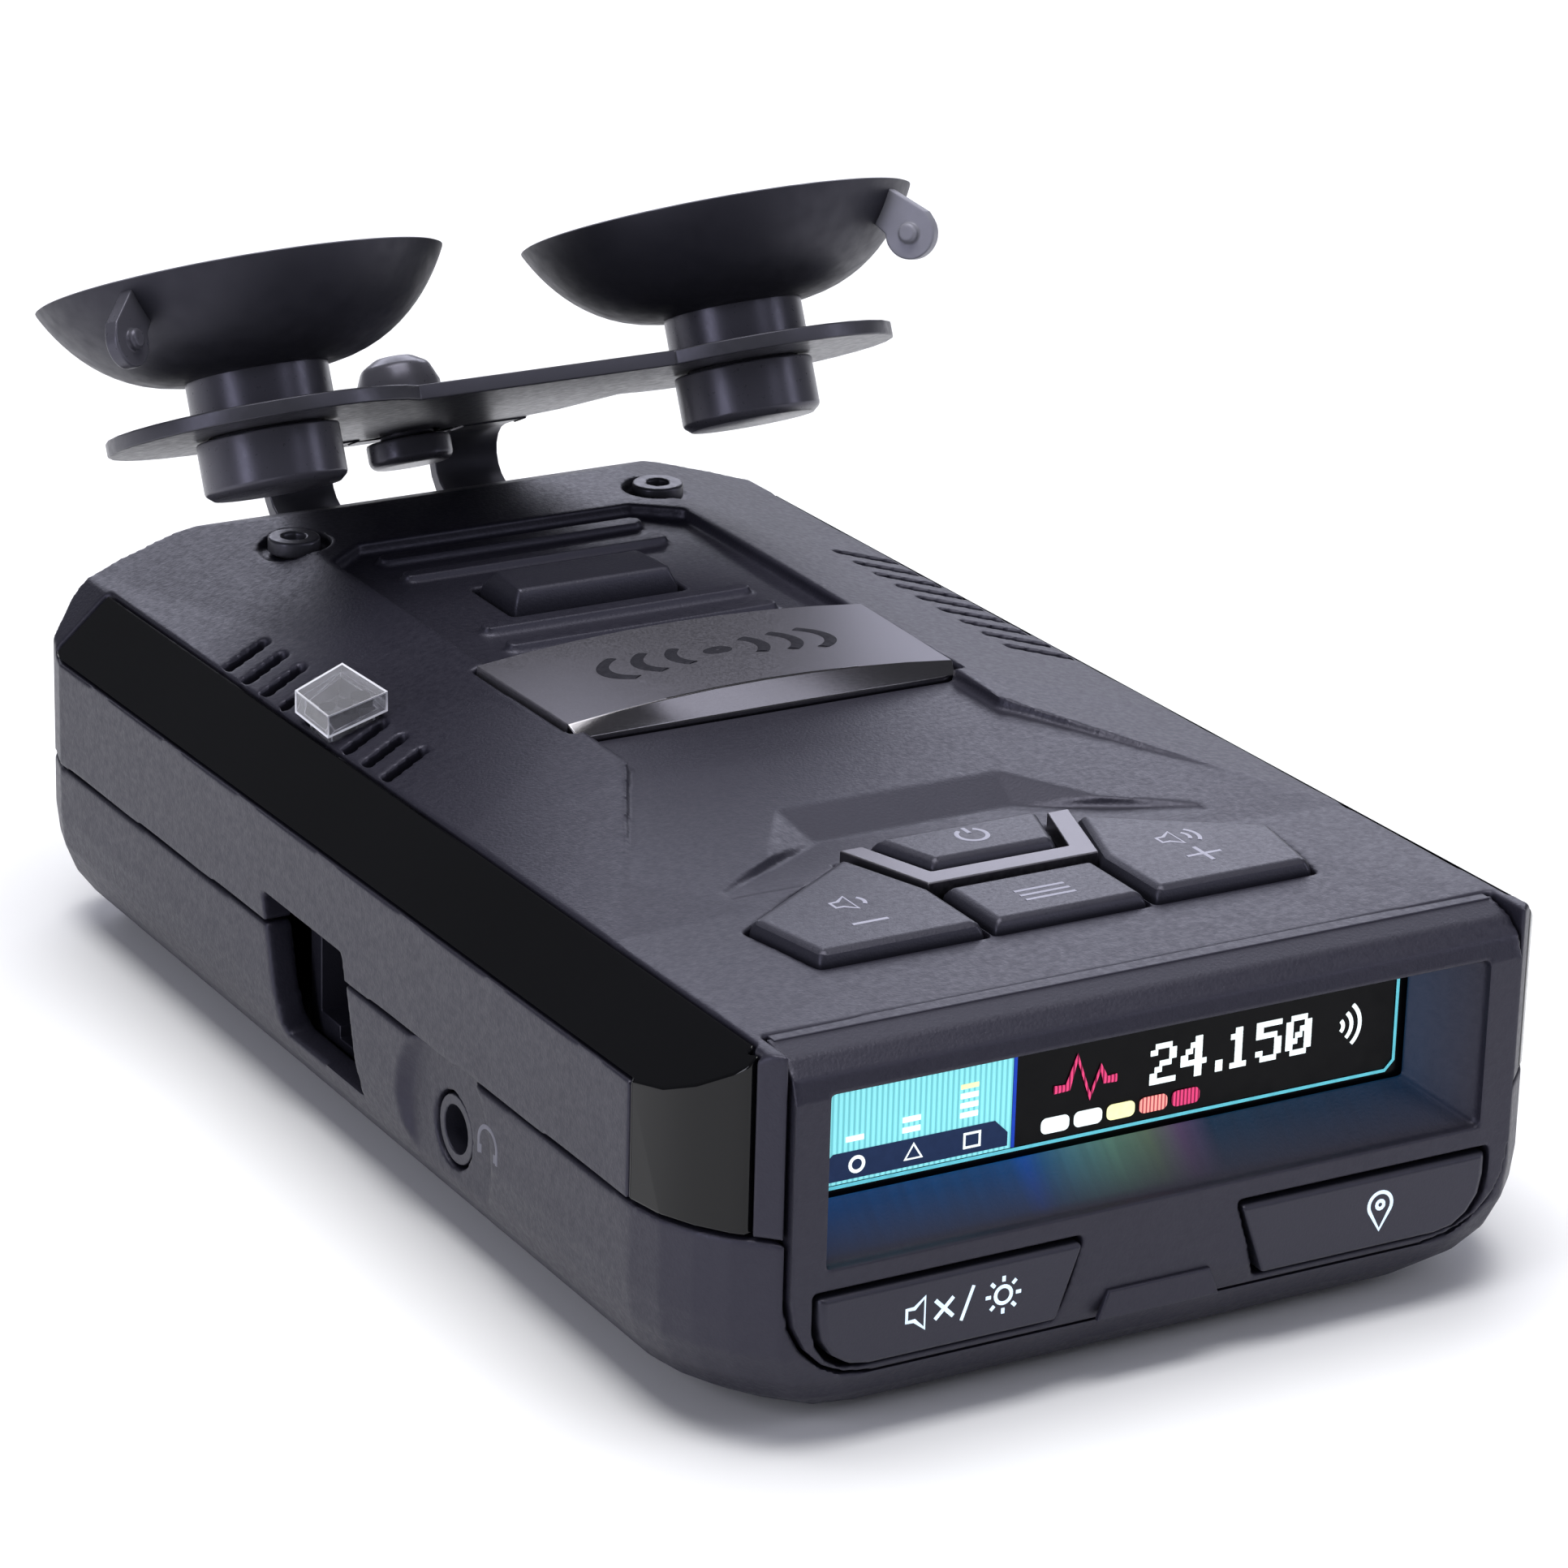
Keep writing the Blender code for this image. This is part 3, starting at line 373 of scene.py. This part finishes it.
def lathe(name, profile, steps=96):
    """Turns a profile of (radius, height) points round the Z axis."""
    bpy.ops.object.select_all(action="DESELECT")
    bpy.ops.mesh.primitive_plane_add(size=MM, location=(0, 0, 0))
    piece = bpy.context.object
    piece.name = name
    bpy.ops.object.mode_set(mode="EDIT")
    bpy.ops.mesh.select_all(action="SELECT")
    bpy.ops.mesh.merge(type="CENTER")
    start = (profile[0][0] * MM, 0, profile[0][1] * MM)
    bpy.ops.transform.translate(value=start)
    for (radius, height), (onward, up) in zip(profile, profile[1:]):
        step = ((onward - radius) * MM, 0, (up - height) * MM)
        bpy.ops.mesh.extrude_region_move(TRANSFORM_OT_translate={"value": step})
    bpy.ops.mesh.select_all(action="SELECT")
    bpy.ops.mesh.spin(steps=steps, angle=2 * math.pi, center=(0, 0, 0), axis=(0, 0, 1))
    bpy.ops.object.mode_set(mode="OBJECT")
    tidy_faces(piece)
    return piece


def curve_mesh(name, lines, closed, depth, fill=False, extrude=0.0, resolution=2):
    """Lines of (x, y) points made into one mesh, as rods or as filled plates."""
    data = bpy.data.curves.new(name, "CURVE")
    data.dimensions = "2D" if fill else "3D"
    data.fill_mode = "BOTH" if fill else "FULL"
    data.bevel_depth = depth * MM
    data.bevel_resolution = resolution
    data.extrude = extrude * MM
    data.use_fill_caps = not fill
    data.offset = -depth * MM if fill else 0
    for line in lines:
        spline = data.splines.new("POLY")
        spline.points.add(len(line) - 1)
        for point, (x, y) in zip(spline.points, line):
            point.co = (x * MM, y * MM, 0, 1)
        spline.use_cyclic_u = closed or line[0] == line[-1]
    made = bpy.data.objects.new(name, data)
    bpy.context.scene.collection.objects.link(made)
    work_on(made)
    bpy.ops.object.convert(target="MESH")
    made = bpy.context.object
    tidy_faces(made, 0.0005)
    return made


def bend_round(centre, radius, start, end, steps=16):
    angles = [math.radians(start + (end - start) * i / steps) for i in range(steps + 1)]
    return [(centre[0] + radius * math.cos(a), centre[1] + radius * math.sin(a)) for a in angles]


ON_DECK = (Vector((1, 0, 0)), Vector((0, 1, 0)))
ON_FRONT = (Vector((1, 0, 0)), Vector((0, 0, 1)))
ON_SIDE = (Vector((0, -1, 0)), Vector((0, 0, 1)))


def facing(plane, x, y, z):
    """The matrix that lays a flat drawing on the deck, the front or the side."""
    right, up = plane
    turn = Matrix((right, up, right.cross(up))).transposed().to_4x4()
    return Matrix.Translation(Vector((x, y, z)) * MM) @ turn


def symbol(name, lines, width, plane, place, body, finish, thickness=0.05):
    """A printed sign made of flattened strokes."""
    made = curve_mesh(name, lines, False, width / 2)
    flat = Matrix.Diagonal((1, 1, thickness / width, 1))
    settle(made, facing(plane, *place) @ flat)
    shade(made)
    return finished(made, body, finish, "label_stock")


# ---------------------------------------------------------------- pieces from the CAD

ROUNDED = {
    "gloss_trim_left": ("housing", GLOSS, "gloss_black", 0.2),
    "gloss_trim_right": ("housing", GLOSS, "gloss_black", 0.2),
    "button_trim": ("housing", CHROME, "satin_chrome", 0.12),
    "power_button": ("power_button", KEYS, "key_plastic", 0.3),
    "menu_button": ("menu_button", KEYS, "key_plastic", 0.3),
    "volume_down_button": ("volume_down_button", KEYS, "key_plastic", 0.4),
    "volume_up_button": ("volume_up_button", KEYS, "key_plastic", 0.4),
    "mute_button": ("mute_button", KEYS, "key_plastic", 0.25),
    "mark_button": ("mark_button", KEYS, "key_plastic", 0.25),
    "release_button": ("release_button", KEYS, "key_plastic", 0.4),
    "mount_bracket": ("bracket", STEEL, "black_steel", 0.15),
    "bumper": ("bracket", STEM_RUBBER, "rubber", 0.3),
    "rear_screw_left": ("housing", STEEL, "black_steel", 0.25),
    "rear_screw_right": ("housing", STEEL, "black_steel", 0.25),
    "audio_jack": ("housing", KEYS, "key_plastic", 0.12),
    "power_jack": ("housing", KEYS, "key_plastic", 0.12),
}
for node, (body, finish, slot, width) in ROUNDED.items():
    rounded_copy(node, body, finish, slot, width)

RECAST = {
    "upper_case": ("housing", CHARCOAL, "charcoal_plastic", 0.23, 2, 195000),
    "lower_case": ("housing", CHARCOAL, "charcoal_plastic", 0.26, 2, 180000),
    "front_bezel": ("housing", BEZEL_PAINTED_GLOW, "charcoal_plastic", 0.2, 3, 180000),
}
for node, (body, finish, slot, grain, passes, triangles) in RECAST.items():
    recast(node, body, finish, slot, grain, passes, triangles)

KEPT = {
    "rear_lens": DARK_LENS, "display_panel": DISPLAY, "main_board": BOARD, "button_board": BOARD,
    "front_board": BOARD, "button_keypad": SILICONE, "rating_label": LABEL, "laser_sensor": KEYS,
    "mute_switch": KEYS, "mark_switch": KEYS, "speaker": KEYS, "horn_antenna": BARE,
    "receiver_shield": BARE, "release_spring": BARE, "bottom_screw_left": STEEL,
    "bottom_screw_right": STEEL, "board_screw_left": BARE, "board_screw_right": BARE,
    "board_screw_rear_left": BARE, "board_screw_rear_right": BARE,
}
for node, finish in KEPT.items():
    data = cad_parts[node].data
    data.materials.clear()
    data.materials.append(finish)


# ---------------------------------------------------------------- name plate and front details

PLATE_HALF, PLATE_EDGE, PLATE_CROWN = 16.45, 31.1, 1.0
FACET_END = behind(56.3)


def name_plate():
    """The crowned plate, whose front facet is polished, with a plain wave sign on it, its engraved
    strokes drawn dark as painted shade.
    """
    plate = rounded_copy("name_plate", "housing", GUNMETAL, "gunmetal", 0.12)
    plate.data.materials.append(POLISHED_STEEL)
    for face in plate.data.polygons:
        if face.normal.y < -0.25 and face.center.y < FACET_END * MM:
            face.material_index = 1
    lines = [bend_round((0, 0), 0.55, 0, 360, 20)]
    for way, around in ((1, 0), (-1, 180)):
        for i, height in enumerate((33, 40, 47)):
            centre = (way * (2.3 * (i + 1) - 3.4), 0)
            lines.append(bend_round(centre, 4.1, around - height, around + height))
    sign = curve_mesh("plate_sign", lines, False, 0.42)
    flat = Matrix.Diagonal((1.25, 0.72, 0.22, 1))
    settle(sign, facing(ON_DECK, 0, behind(63.0), PLATE_EDGE) @ flat)
    for vertex in sign.data.vertices:
        share = vertex.co.x / MM / PLATE_HALF
        vertex.co.z += PLATE_CROWN * (1 - share**2) * MM
    shade(sign)
    # The sign's dark strokes are painted shade of its engraving.
    finished(sign, "housing", SHADOW, "gunmetal")


def crease_strip():
    """The soft edge where the bezel meets the deck."""
    bpy.ops.object.select_all(action="DESELECT")
    bpy.ops.mesh.primitive_cube_add(size=MM, location=(0, 0, 0))
    strip = bpy.context.object
    strip.name = "crease_strip"
    size = Matrix.Diagonal((57.0, 1.5, 0.86, 1))
    settle(strip, Matrix.Translation(Vector((0, behind(4.5), 28.25)) * MM) @ size)
    soften(strip, 0.1, segments=3)
    shade(strip)
    finished(strip, "housing", CHARCOAL, "charcoal_plastic")


def catch_tab():
    """The low raised tab on the bezel between the two front buttons."""
    outline = [(-4.9, 5.1), (4.9, 5.1), (4.1, 7.2), (-4.1, 7.2)]
    tab = curve_mesh("catch_tab", [outline], True, 0.16, fill=True, extrude=0.1)
    settle(tab, facing(ON_FRONT, 0, behind(0.02), 0))
    tidy_faces(tab)
    shade(tab)
    finished(tab, "housing", CHARCOAL, "charcoal_plastic")


PRISM_HOLLOWS = ((-29.2, 69.3, 0.62), (-27.9, 69.0, 0.6), (-26.4, 69.6, 0.75))


def prism():
    """The clear laser window, with painted highlights along its edges and the round hollows inside
    it, whose darkness is painted shade.
    """
    # Painted highlight: a pale wire copy of the window's edges.
    edges = cleaned("laser_prism", "prism_edge_highlights", 12)
    apply_modifier(edges, "WIREFRAME", thickness=0.2 * MM, offset=0.3, use_even_offset=True)
    shade(edges)
    finished(edges, "housing", CLEAR_EDGE_HIGHLIGHT, "clear_plastic")
    rounded_copy("laser_prism", "housing", CLEAR, "clear_plastic", 0.1)
    # The hollows are dark solids: their darkness inside the clear window is painted shade.
    ring = [(0, -0.45), (0.9, -0.45), (1.0, 0.3), (0.8, 0.45), (0, 0.45)]
    for i, (x, distance, radius) in enumerate(PRISM_HOLLOWS):
        hollow = lathe(f"prism_hollow_{i + 1}", ring, 32)
        height = 29.75 + 0.11 * (x + 30)
        place = Matrix.Translation(Vector((x, behind(distance), height)) * MM)
        settle(hollow, place @ Matrix.Diagonal((radius, radius, 0.8, 1)))
        tidy_faces(hollow)
        shade(hollow)
        finished(hollow, "housing", SHADOW, "clear_plastic")


name_plate()
crease_strip()
catch_tab()
prism()


# ---------------------------------------------------------------- suction cups

TILT = math.radians(24.5)
BRACKET_MIDDLE = Vector((0, behind(97.6), 42.7))
CUP_SPACING = 21.0
STEM = [
    (0, -5.3), (5.0, -5.3), (5.6, -4.8), (5.6, -0.8), (4.3, -0.8),
    (4.3, 0.8), (5.6, 0.8), (5.6, 4.5), (0, 4.5),
]


def bowl_profile():
    """The cup's outside as one sweep, then its rim and its hollow."""
    corners = [Vector(point) for point in ((5.65, 3.9), (11.5, 4.2), (14.6, 8.6), (15.85, 11.1))]
    points = []
    for i in range(15):
        t = i / 14
        weights = ((1 - t) ** 3, 3 * t * (1 - t) ** 2, 3 * t * t * (1 - t), t**3)
        spot = sum((corner * w for corner, w in zip(corners, weights)), Vector((0, 0)))
        points.append(tuple(spot))
    rim = [(15.9, 11.25), (15.7, 11.35)]
    hollow = [(14.8, 11.0), (13.0, 9.6), (9.6, 8.0), (5.4, 6.9), (0, 6.5)]
    return [(0, 3.9)] + points + rim + hollow


TAB_END = (16.5, 6.7)
NUB = [(0, -1.2), (0.6, -1.2), (0.8, -1.0), (0.8, 1.0), (0.6, 1.2), (0, 1.2)]


def pull_tab(name, angle, seat):
    """The radial fin by which the cup is peeled off, with a nub at its end."""
    outline = [(13.2, 8.6), (15.4, 10.6), (18.2, 8.1)] + bend_round(TAB_END, 2.1, 20, -190, 24)
    fin = curve_mesh(name, [outline], True, 0.1, True, 0.45)
    nub = lathe(name + "_nub", NUB, 40)
    settle(nub, Matrix.Translation(Vector((*TAB_END, 0)) * MM))
    fin.select_set(True)
    bpy.context.view_layer.objects.active = fin
    bpy.ops.object.join()
    apply_modifier(fin, "REMESH", mode="VOXEL", voxel_size=0.09 * MM)
    apply_modifier(fin, "SMOOTH", factor=0.5, iterations=2)
    upright = Matrix.Rotation(math.radians(90), 4, "X")
    settle(fin, seat @ Matrix.Rotation(math.radians(angle), 4, "Z") @ upright)
    shade(fin, 60)
    return fin


def suction_cup(side, word, angle, tab_finish):
    body = word + "_cup"
    middle = BRACKET_MIDDLE + Vector((side * CUP_SPACING, 0, 0))
    seat = Matrix.Translation(middle * MM) @ Matrix.Rotation(-TILT, 4, "X")
    bowl = lathe(f"cup_{word}_bowl", bowl_profile(), 128)
    settle(bowl, seat)
    shade(bowl, 40)
    finished(bowl, body, RUBBER, "rubber", "suction_cup_" + word)
    stem = lathe(f"cup_{word}_stem", STEM, 96)
    soften(stem, 0.2, 40, 3)
    settle(stem, seat)
    shade(stem, 40)
    finished(stem, body, STEM_RUBBER, "rubber")
    finished(pull_tab(f"cup_{word}_tab", angle, seat), body, tab_finish, "rubber")


suction_cup(-1, "left", -147, STEM_RUBBER)
suction_cup(1, "right", -52, THIN_RUBBER)


# ---------------------------------------------------------------- signs on the keys

SPEAKER = [
    (-1.3, 0.45), (-0.7, 0.45), (0.1, 1.15), (0.1, -1.15), (-0.7, -0.45), (-1.3, -0.45),
    (-1.3, 0.45),
]
VOLUME_TOP, POWER_TOP, MENU_TOP = 29.81, 30.31, 29.71
KEY_FACE = behind(-0.31)
SIDE_WALL = -35.0


def wave(radius):
    return bend_round((0.2, 0), radius, -42, 42, 10)


def deck_sign(name, lines, width, x, distance, height, key):
    symbol(name, lines, width, ON_DECK, (x, behind(distance), height), key, PRINT)


def key_signs():
    low, high = [SPEAKER, wave(0.9)], [SPEAKER, wave(0.9), wave(1.6)]
    deck_sign("volume_down_sign", low, 0.3, -13.5, 19.9, VOLUME_TOP, "volume_down_button")
    deck_sign("volume_up_sign", high, 0.3, 13.3, 20.5, VOLUME_TOP, "volume_up_button")
    minus = [[(-1.4, 0), (1.4, 0)]]
    plus = minus + [[(0, -1.3), (0, 1.3)]]
    deck_sign("minus_sign", minus, 0.34, -13.9, 16.4, VOLUME_TOP, "volume_down_button")
    deck_sign("plus_sign", plus, 0.34, 13.5, 17.1, VOLUME_TOP, "volume_up_button")
    power = [bend_round((0, 0), 1.1, 122, 418, 28), [(0, 0.35), (0, 1.35)]]
    deck_sign("power_sign", power, 0.34, 0, 26.1, POWER_TOP, "power_button")
    menu = [[(-2.0, z), (2.0, z)] for z in (-0.8, 0, 0.8)]
    deck_sign("menu_sign", menu, 0.32, -0.2, 16.1, MENU_TOP, "menu_button")


def front_sign(name, lines, width, x, z, key):
    symbol(name, lines, width, ON_FRONT, (x, KEY_FACE, z), key, BACKLIT)


def front_signs():
    crossed = [SPEAKER, [(0.9, 0.7), (2.3, -0.7)], [(0.9, -0.7), (2.3, 0.7)]]
    front_sign("mute_sign", crossed, 0.3, -18.8, 8.8, "mute_button")
    front_sign("divider_sign", [[(-0.45, -1.2), (0.45, 1.2)]], 0.26, -15.4, 8.8, "mute_button")
    sun = [bend_round((0, 0), 0.62, 0, 360, 20)]
    for i in range(8):
        way = (math.cos(i * math.pi / 4), math.sin(i * math.pi / 4))
        sun.append([(0.98 * way[0], 0.98 * way[1]), (1.38 * way[0], 1.38 * way[1])])
    front_sign("dimmer_sign", sun, 0.28, -12.6, 8.8, "mute_button")
    pin = bend_round((0, 0.45), 0.95, -28, 208, 20) + [(0, -1.45)]
    eye = bend_round((0, 0.45), 0.3, 0, 360, 12)
    front_sign("mark_sign", [pin + pin[:1], eye], 0.28, 17.9, 8.7, "mark_button")


def side_sign():
    """The headphone sign beside the audio jack."""
    band = [bend_round((0, -0.2), 1.35, 0, 180, 20)]
    cups = [[(way * 1.35, -0.1), (way * 1.35, -1.2)] for way in (-1, 1)]
    cups += [[(way * 1.05, -0.45), (way * 1.05, -1.1)] for way in (-1, 1)]
    place = (SIDE_WALL, behind(31.6), 11.4)
    symbol("headphone_sign", band + cups, 0.34, ON_SIDE, place, "housing", DARK_PRINT, 0.06)


key_signs()
front_signs()
side_sign()


# ---------------------------------------------------------------- lit display

GLASS_FRONT = 4.36
DIGITS = {
    "2": ("01110", "10001", "00001", "00110", "01000", "10000", "11111"),
    "4": ("00010", "00110", "01010", "10010", "11111", "00010", "00010"),
    "1": ("00100", "01100", "00100", "00100", "00100", "00100", "01110"),
    "5": ("11111", "10000", "11110", "00001", "00001", "10001", "01110"),
    "0": ("01110", "10001", "10011", "10101", "11001", "10001", "01110"),
    ".": ("00000", "00000", "00000", "00000", "00000", "01000", "01000"),
}


def lit_blocks(name, finish, boxes, step=0.0):
    """Thin lit blocks on the glass, given as (left, right, low, high)."""
    bpy.ops.object.select_all(action="DESELECT")
    middle = behind(GLASS_FRONT - step) * MM
    for i, (left, right, low, high) in enumerate(boxes):
        place = ((left + right) / 2 * MM, middle, (low + high) / 2 * MM)
        size = ((right - left) * MM, 0.06 * MM, (high - low) * MM)
        if i:
            bpy.ops.mesh.primitive_cube_add(size=1, location=place, scale=size)
            continue
        bpy.ops.mesh.primitive_cube_add(size=1, location=(0, 0, 0))
        made = bpy.context.object
        made.name = name
        bpy.ops.object.mode_set(mode="EDIT")
        bpy.ops.transform.resize(value=size)
        bpy.ops.transform.translate(value=place)
        bpy.ops.mesh.select_all(action="DESELECT")
    bpy.ops.object.mode_set(mode="OBJECT")
    soften(made, 0.015, segments=1)
    shade(made)
    return finished(made, "housing", finish, "display_glass")


def rounded_tile(name, finish, outline, step):
    made = curve_mesh(name, [outline], True, 0.01, True, 0.02, 1)
    settle(made, facing(ON_FRONT, 0, behind(GLASS_FRONT - step), 0))
    shade(made)
    return finished(made, "housing", finish, "display_glass")


def oblong(left, right, low, high, radius):
    return (
        bend_round((right - radius, low + radius), radius, -90, 0, 6)
        + bend_round((right - radius, high - radius), radius, 0, 90, 6)
        + bend_round((left + radius, high - radius), radius, 90, 180, 6)
        + bend_round((left + radius, low + radius), radius, 180, 270, 6)
    )


def dot_runs(dots):
    """Where each unbroken run of lit dots starts and ends in a row."""
    runs, start = [], None
    for i, dot in enumerate(dots + "0"):
        if dot == "1" and start is None:
            start = i
        if dot == "0" and start is not None:
            runs.append((start, i))
            start = None
    return runs


def reading(text, left, low, width, height):
    """The runs of lit dots that write a number."""
    boxes = []
    for letter in text:
        for row, dots in enumerate(DIGITS[letter]):
            top = low + height * (7 - row) / 7
            bottom = top - height / 7 * 0.96
            for start, end in dot_runs(dots):
                boxes.append((left + start * width / 5, left + end * width / 5 + 0.2, bottom, top))
        left += width * (0.62 if letter == "." else 1.3)
    return boxes


def lit_lines(name, finish, lines, width, step=0.0, flatness=0.3):
    """Lit strokes laid flat on the glass."""
    made = curve_mesh(name, lines, False, width)
    flat = Matrix.Diagonal((1, 1, flatness, 1))
    settle(made, facing(ON_FRONT, 0, behind(GLASS_FRONT - step), 0) @ flat)
    shade(made)
    finished(made, "housing", finish, "display_glass")


def band_display():
    """The lit panel on the left, with a bar chart over each of its three marks."""
    lit_blocks("band_panel", TURQUOISE, [(-24.7, -9.6, 17.05, 25.3)])
    lit_blocks("panel_edge", BLUE, [(-9.55, -9.3, 17.05, 25.3)])
    strip = [(-24.0, 17.3), (-9.9, 17.3), (-9.9, 18.3), (-10.9, 19.3), (-23.4, 19.3), (-24.0, 18.8)]
    rounded_tile("band_strip", NAVY, strip, 0.06)
    bars = [(-22.5, -21.1, 20.0, 20.4)]
    bars += [(-18.15, -16.75, z, z + 0.4) for z in (19.8, 20.55)]
    bars += [(-13.7, -12.3, z, z + 0.4) for z in (20.0, 20.7, 21.4)]
    lit_blocks("band_bars", WHITE, bars, 0.06)
    lit_blocks("band_bar_top", PALE_YELLOW, [(-13.7, -12.3, 22.1, 22.45)], 0.06)
    ring = bend_round((-21.6, 18.3), 0.52, 0, 360, 20)
    wedge = [(-17.9, 17.85), (-16.6, 17.85), (-17.25, 18.9), (-17.9, 17.85)]
    square = [(-13.3, 17.8), (-12.1, 17.8), (-12.1, 18.8), (-13.3, 18.8), (-13.3, 17.8)]
    lit_lines("band_marks", WHITE, [ring, wedge, square], 0.13, 0.1)


def alert_display():
    """The lit border, then the pulse, the reading and the level tiles."""
    border = [(-24.7, 16.85), (20.9, 16.85), (21.6, 17.55), (21.6, 25.2)]
    lit_lines("display_border", CYAN, [border], 0.13)
    pulse = [
        (-6.3, 20.6), (-5.2, 20.6), (-4.5, 22.7), (-3.4, 19.6), (-2.6, 21.6), (-2.2, 20.6),
        (-1.3, 20.6),
    ]
    lit_lines("alert_pulse", CRIMSON, [pulse], 0.3, flatness=0.15)
    lit_blocks("reading", WHITE, reading("24.150", 1.35, 19.45, 1.9, 3.0))
    waves = [bend_round((16.6, 20.9), radius, -48, 48, 10) for radius in (0.55, 1.25, 1.95)]
    lit_lines("unit_waves", WHITE, waves, 0.16)
    for i, finish in enumerate((WHITE, WHITE, PALE_YELLOW, ORANGE, CRIMSON)):
        middle = -6.1 + 2.62 * i
        tile = oblong(middle - 1.12, middle + 1.12, 17.5, 18.65, 0.42)
        rounded_tile(f"level_{i + 1}", finish, tile, 0.0)


band_display()
alert_display()


# ---------------------------------------------------------------- studio


def floor():
    bpy.ops.mesh.primitive_plane_add(size=6.0, location=(0, 0, 0))
    plane = bpy.context.object
    plane.name = "floor"
    pale = Finish("pale_floor", roughness=0.9)
    pale.colours(pale.noise(8), (0.3, (0.87, 0.87, 0.87)), (0.7, (0.9, 0.9, 0.9)))
    plane.data.materials.append(pale.made)


WHITE_LIGHT, COOL_LIGHT = (1, 1, 1), (0.86, 0.87, 1.0)
SOFTBOXES = {
    "overhead": ((-0.05, 0.0, 1.1), (0, 0, 0), (0.8, 0.8), 14, WHITE_LIGHT),
    "low_back": ((0.42, 0.82, 0.42), (0, 0, 0.02), (1.0, 0.36), 4.2, COOL_LIGHT),
    "left_strip": ((-0.75, -0.2, 0.3), (0, 0, 0.04), (0.2, 0.6), 2.2, COOL_LIGHT),
    "right_strip": ((0.7, -0.45, 0.3), (0, 0, 0.04), (0.16, 0.5), 1.2, COOL_LIGHT),
    "front_right": ((0.4, -0.8, 0.7), (0, 0, 0.02), (0.35, 0.35), 0.8, COOL_LIGHT),
}


def softbox(name, place, aim, size, power, tint):
    light = bpy.data.lights.new(name, "AREA")
    light.shape = "RECTANGLE"
    light.size, light.size_y = size
    light.energy = power
    light.color = tint
    lamp = bpy.data.objects.new(name, light)
    lamp.location = place
    lamp.rotation_euler = (Vector(aim) - Vector(place)).to_track_quat("-Z", "Y").to_euler()
    lamp.visible_camera = False
    bpy.context.scene.collection.objects.link(lamp)


def studio():
    floor()
    world = bpy.data.worlds.new("studio")
    world.use_nodes = True
    sky = world.node_tree.nodes["Background"]
    sky.inputs["Color"].default_value = (0.88, 0.9, 1.0, 1)
    sky.inputs["Strength"].default_value = 0.16
    bpy.context.scene.world = world
    for name, settings in SOFTBOXES.items():
        softbox(name, *settings)
    bpy.context.scene.view_settings.view_transform = "Standard"


VIEWPOINT = Vector((-209.50, -365.84, 184.11))
VIEW_RIGHT = Vector((0.86985, -0.49260, 0.02653))
VIEW_DOWN = Vector((-0.15392, -0.32210, -0.93411))
VIEW_AHEAD = Vector((0.46869, 0.80845, -0.35600))


def camera():
    data = bpy.data.cameras.new("camera")
    data.lens = 139.06
    data.sensor_width = 36
    data.clip_start = 0.01
    view = bpy.data.objects.new("camera", data)
    turn = Matrix((VIEW_RIGHT, -VIEW_DOWN, -VIEW_AHEAD)).transposed().to_4x4()
    view.matrix_world = Matrix.Translation(VIEWPOINT * MM) @ turn
    bpy.context.scene.collection.objects.link(view)
    bpy.context.scene.camera = view


studio()
camera()
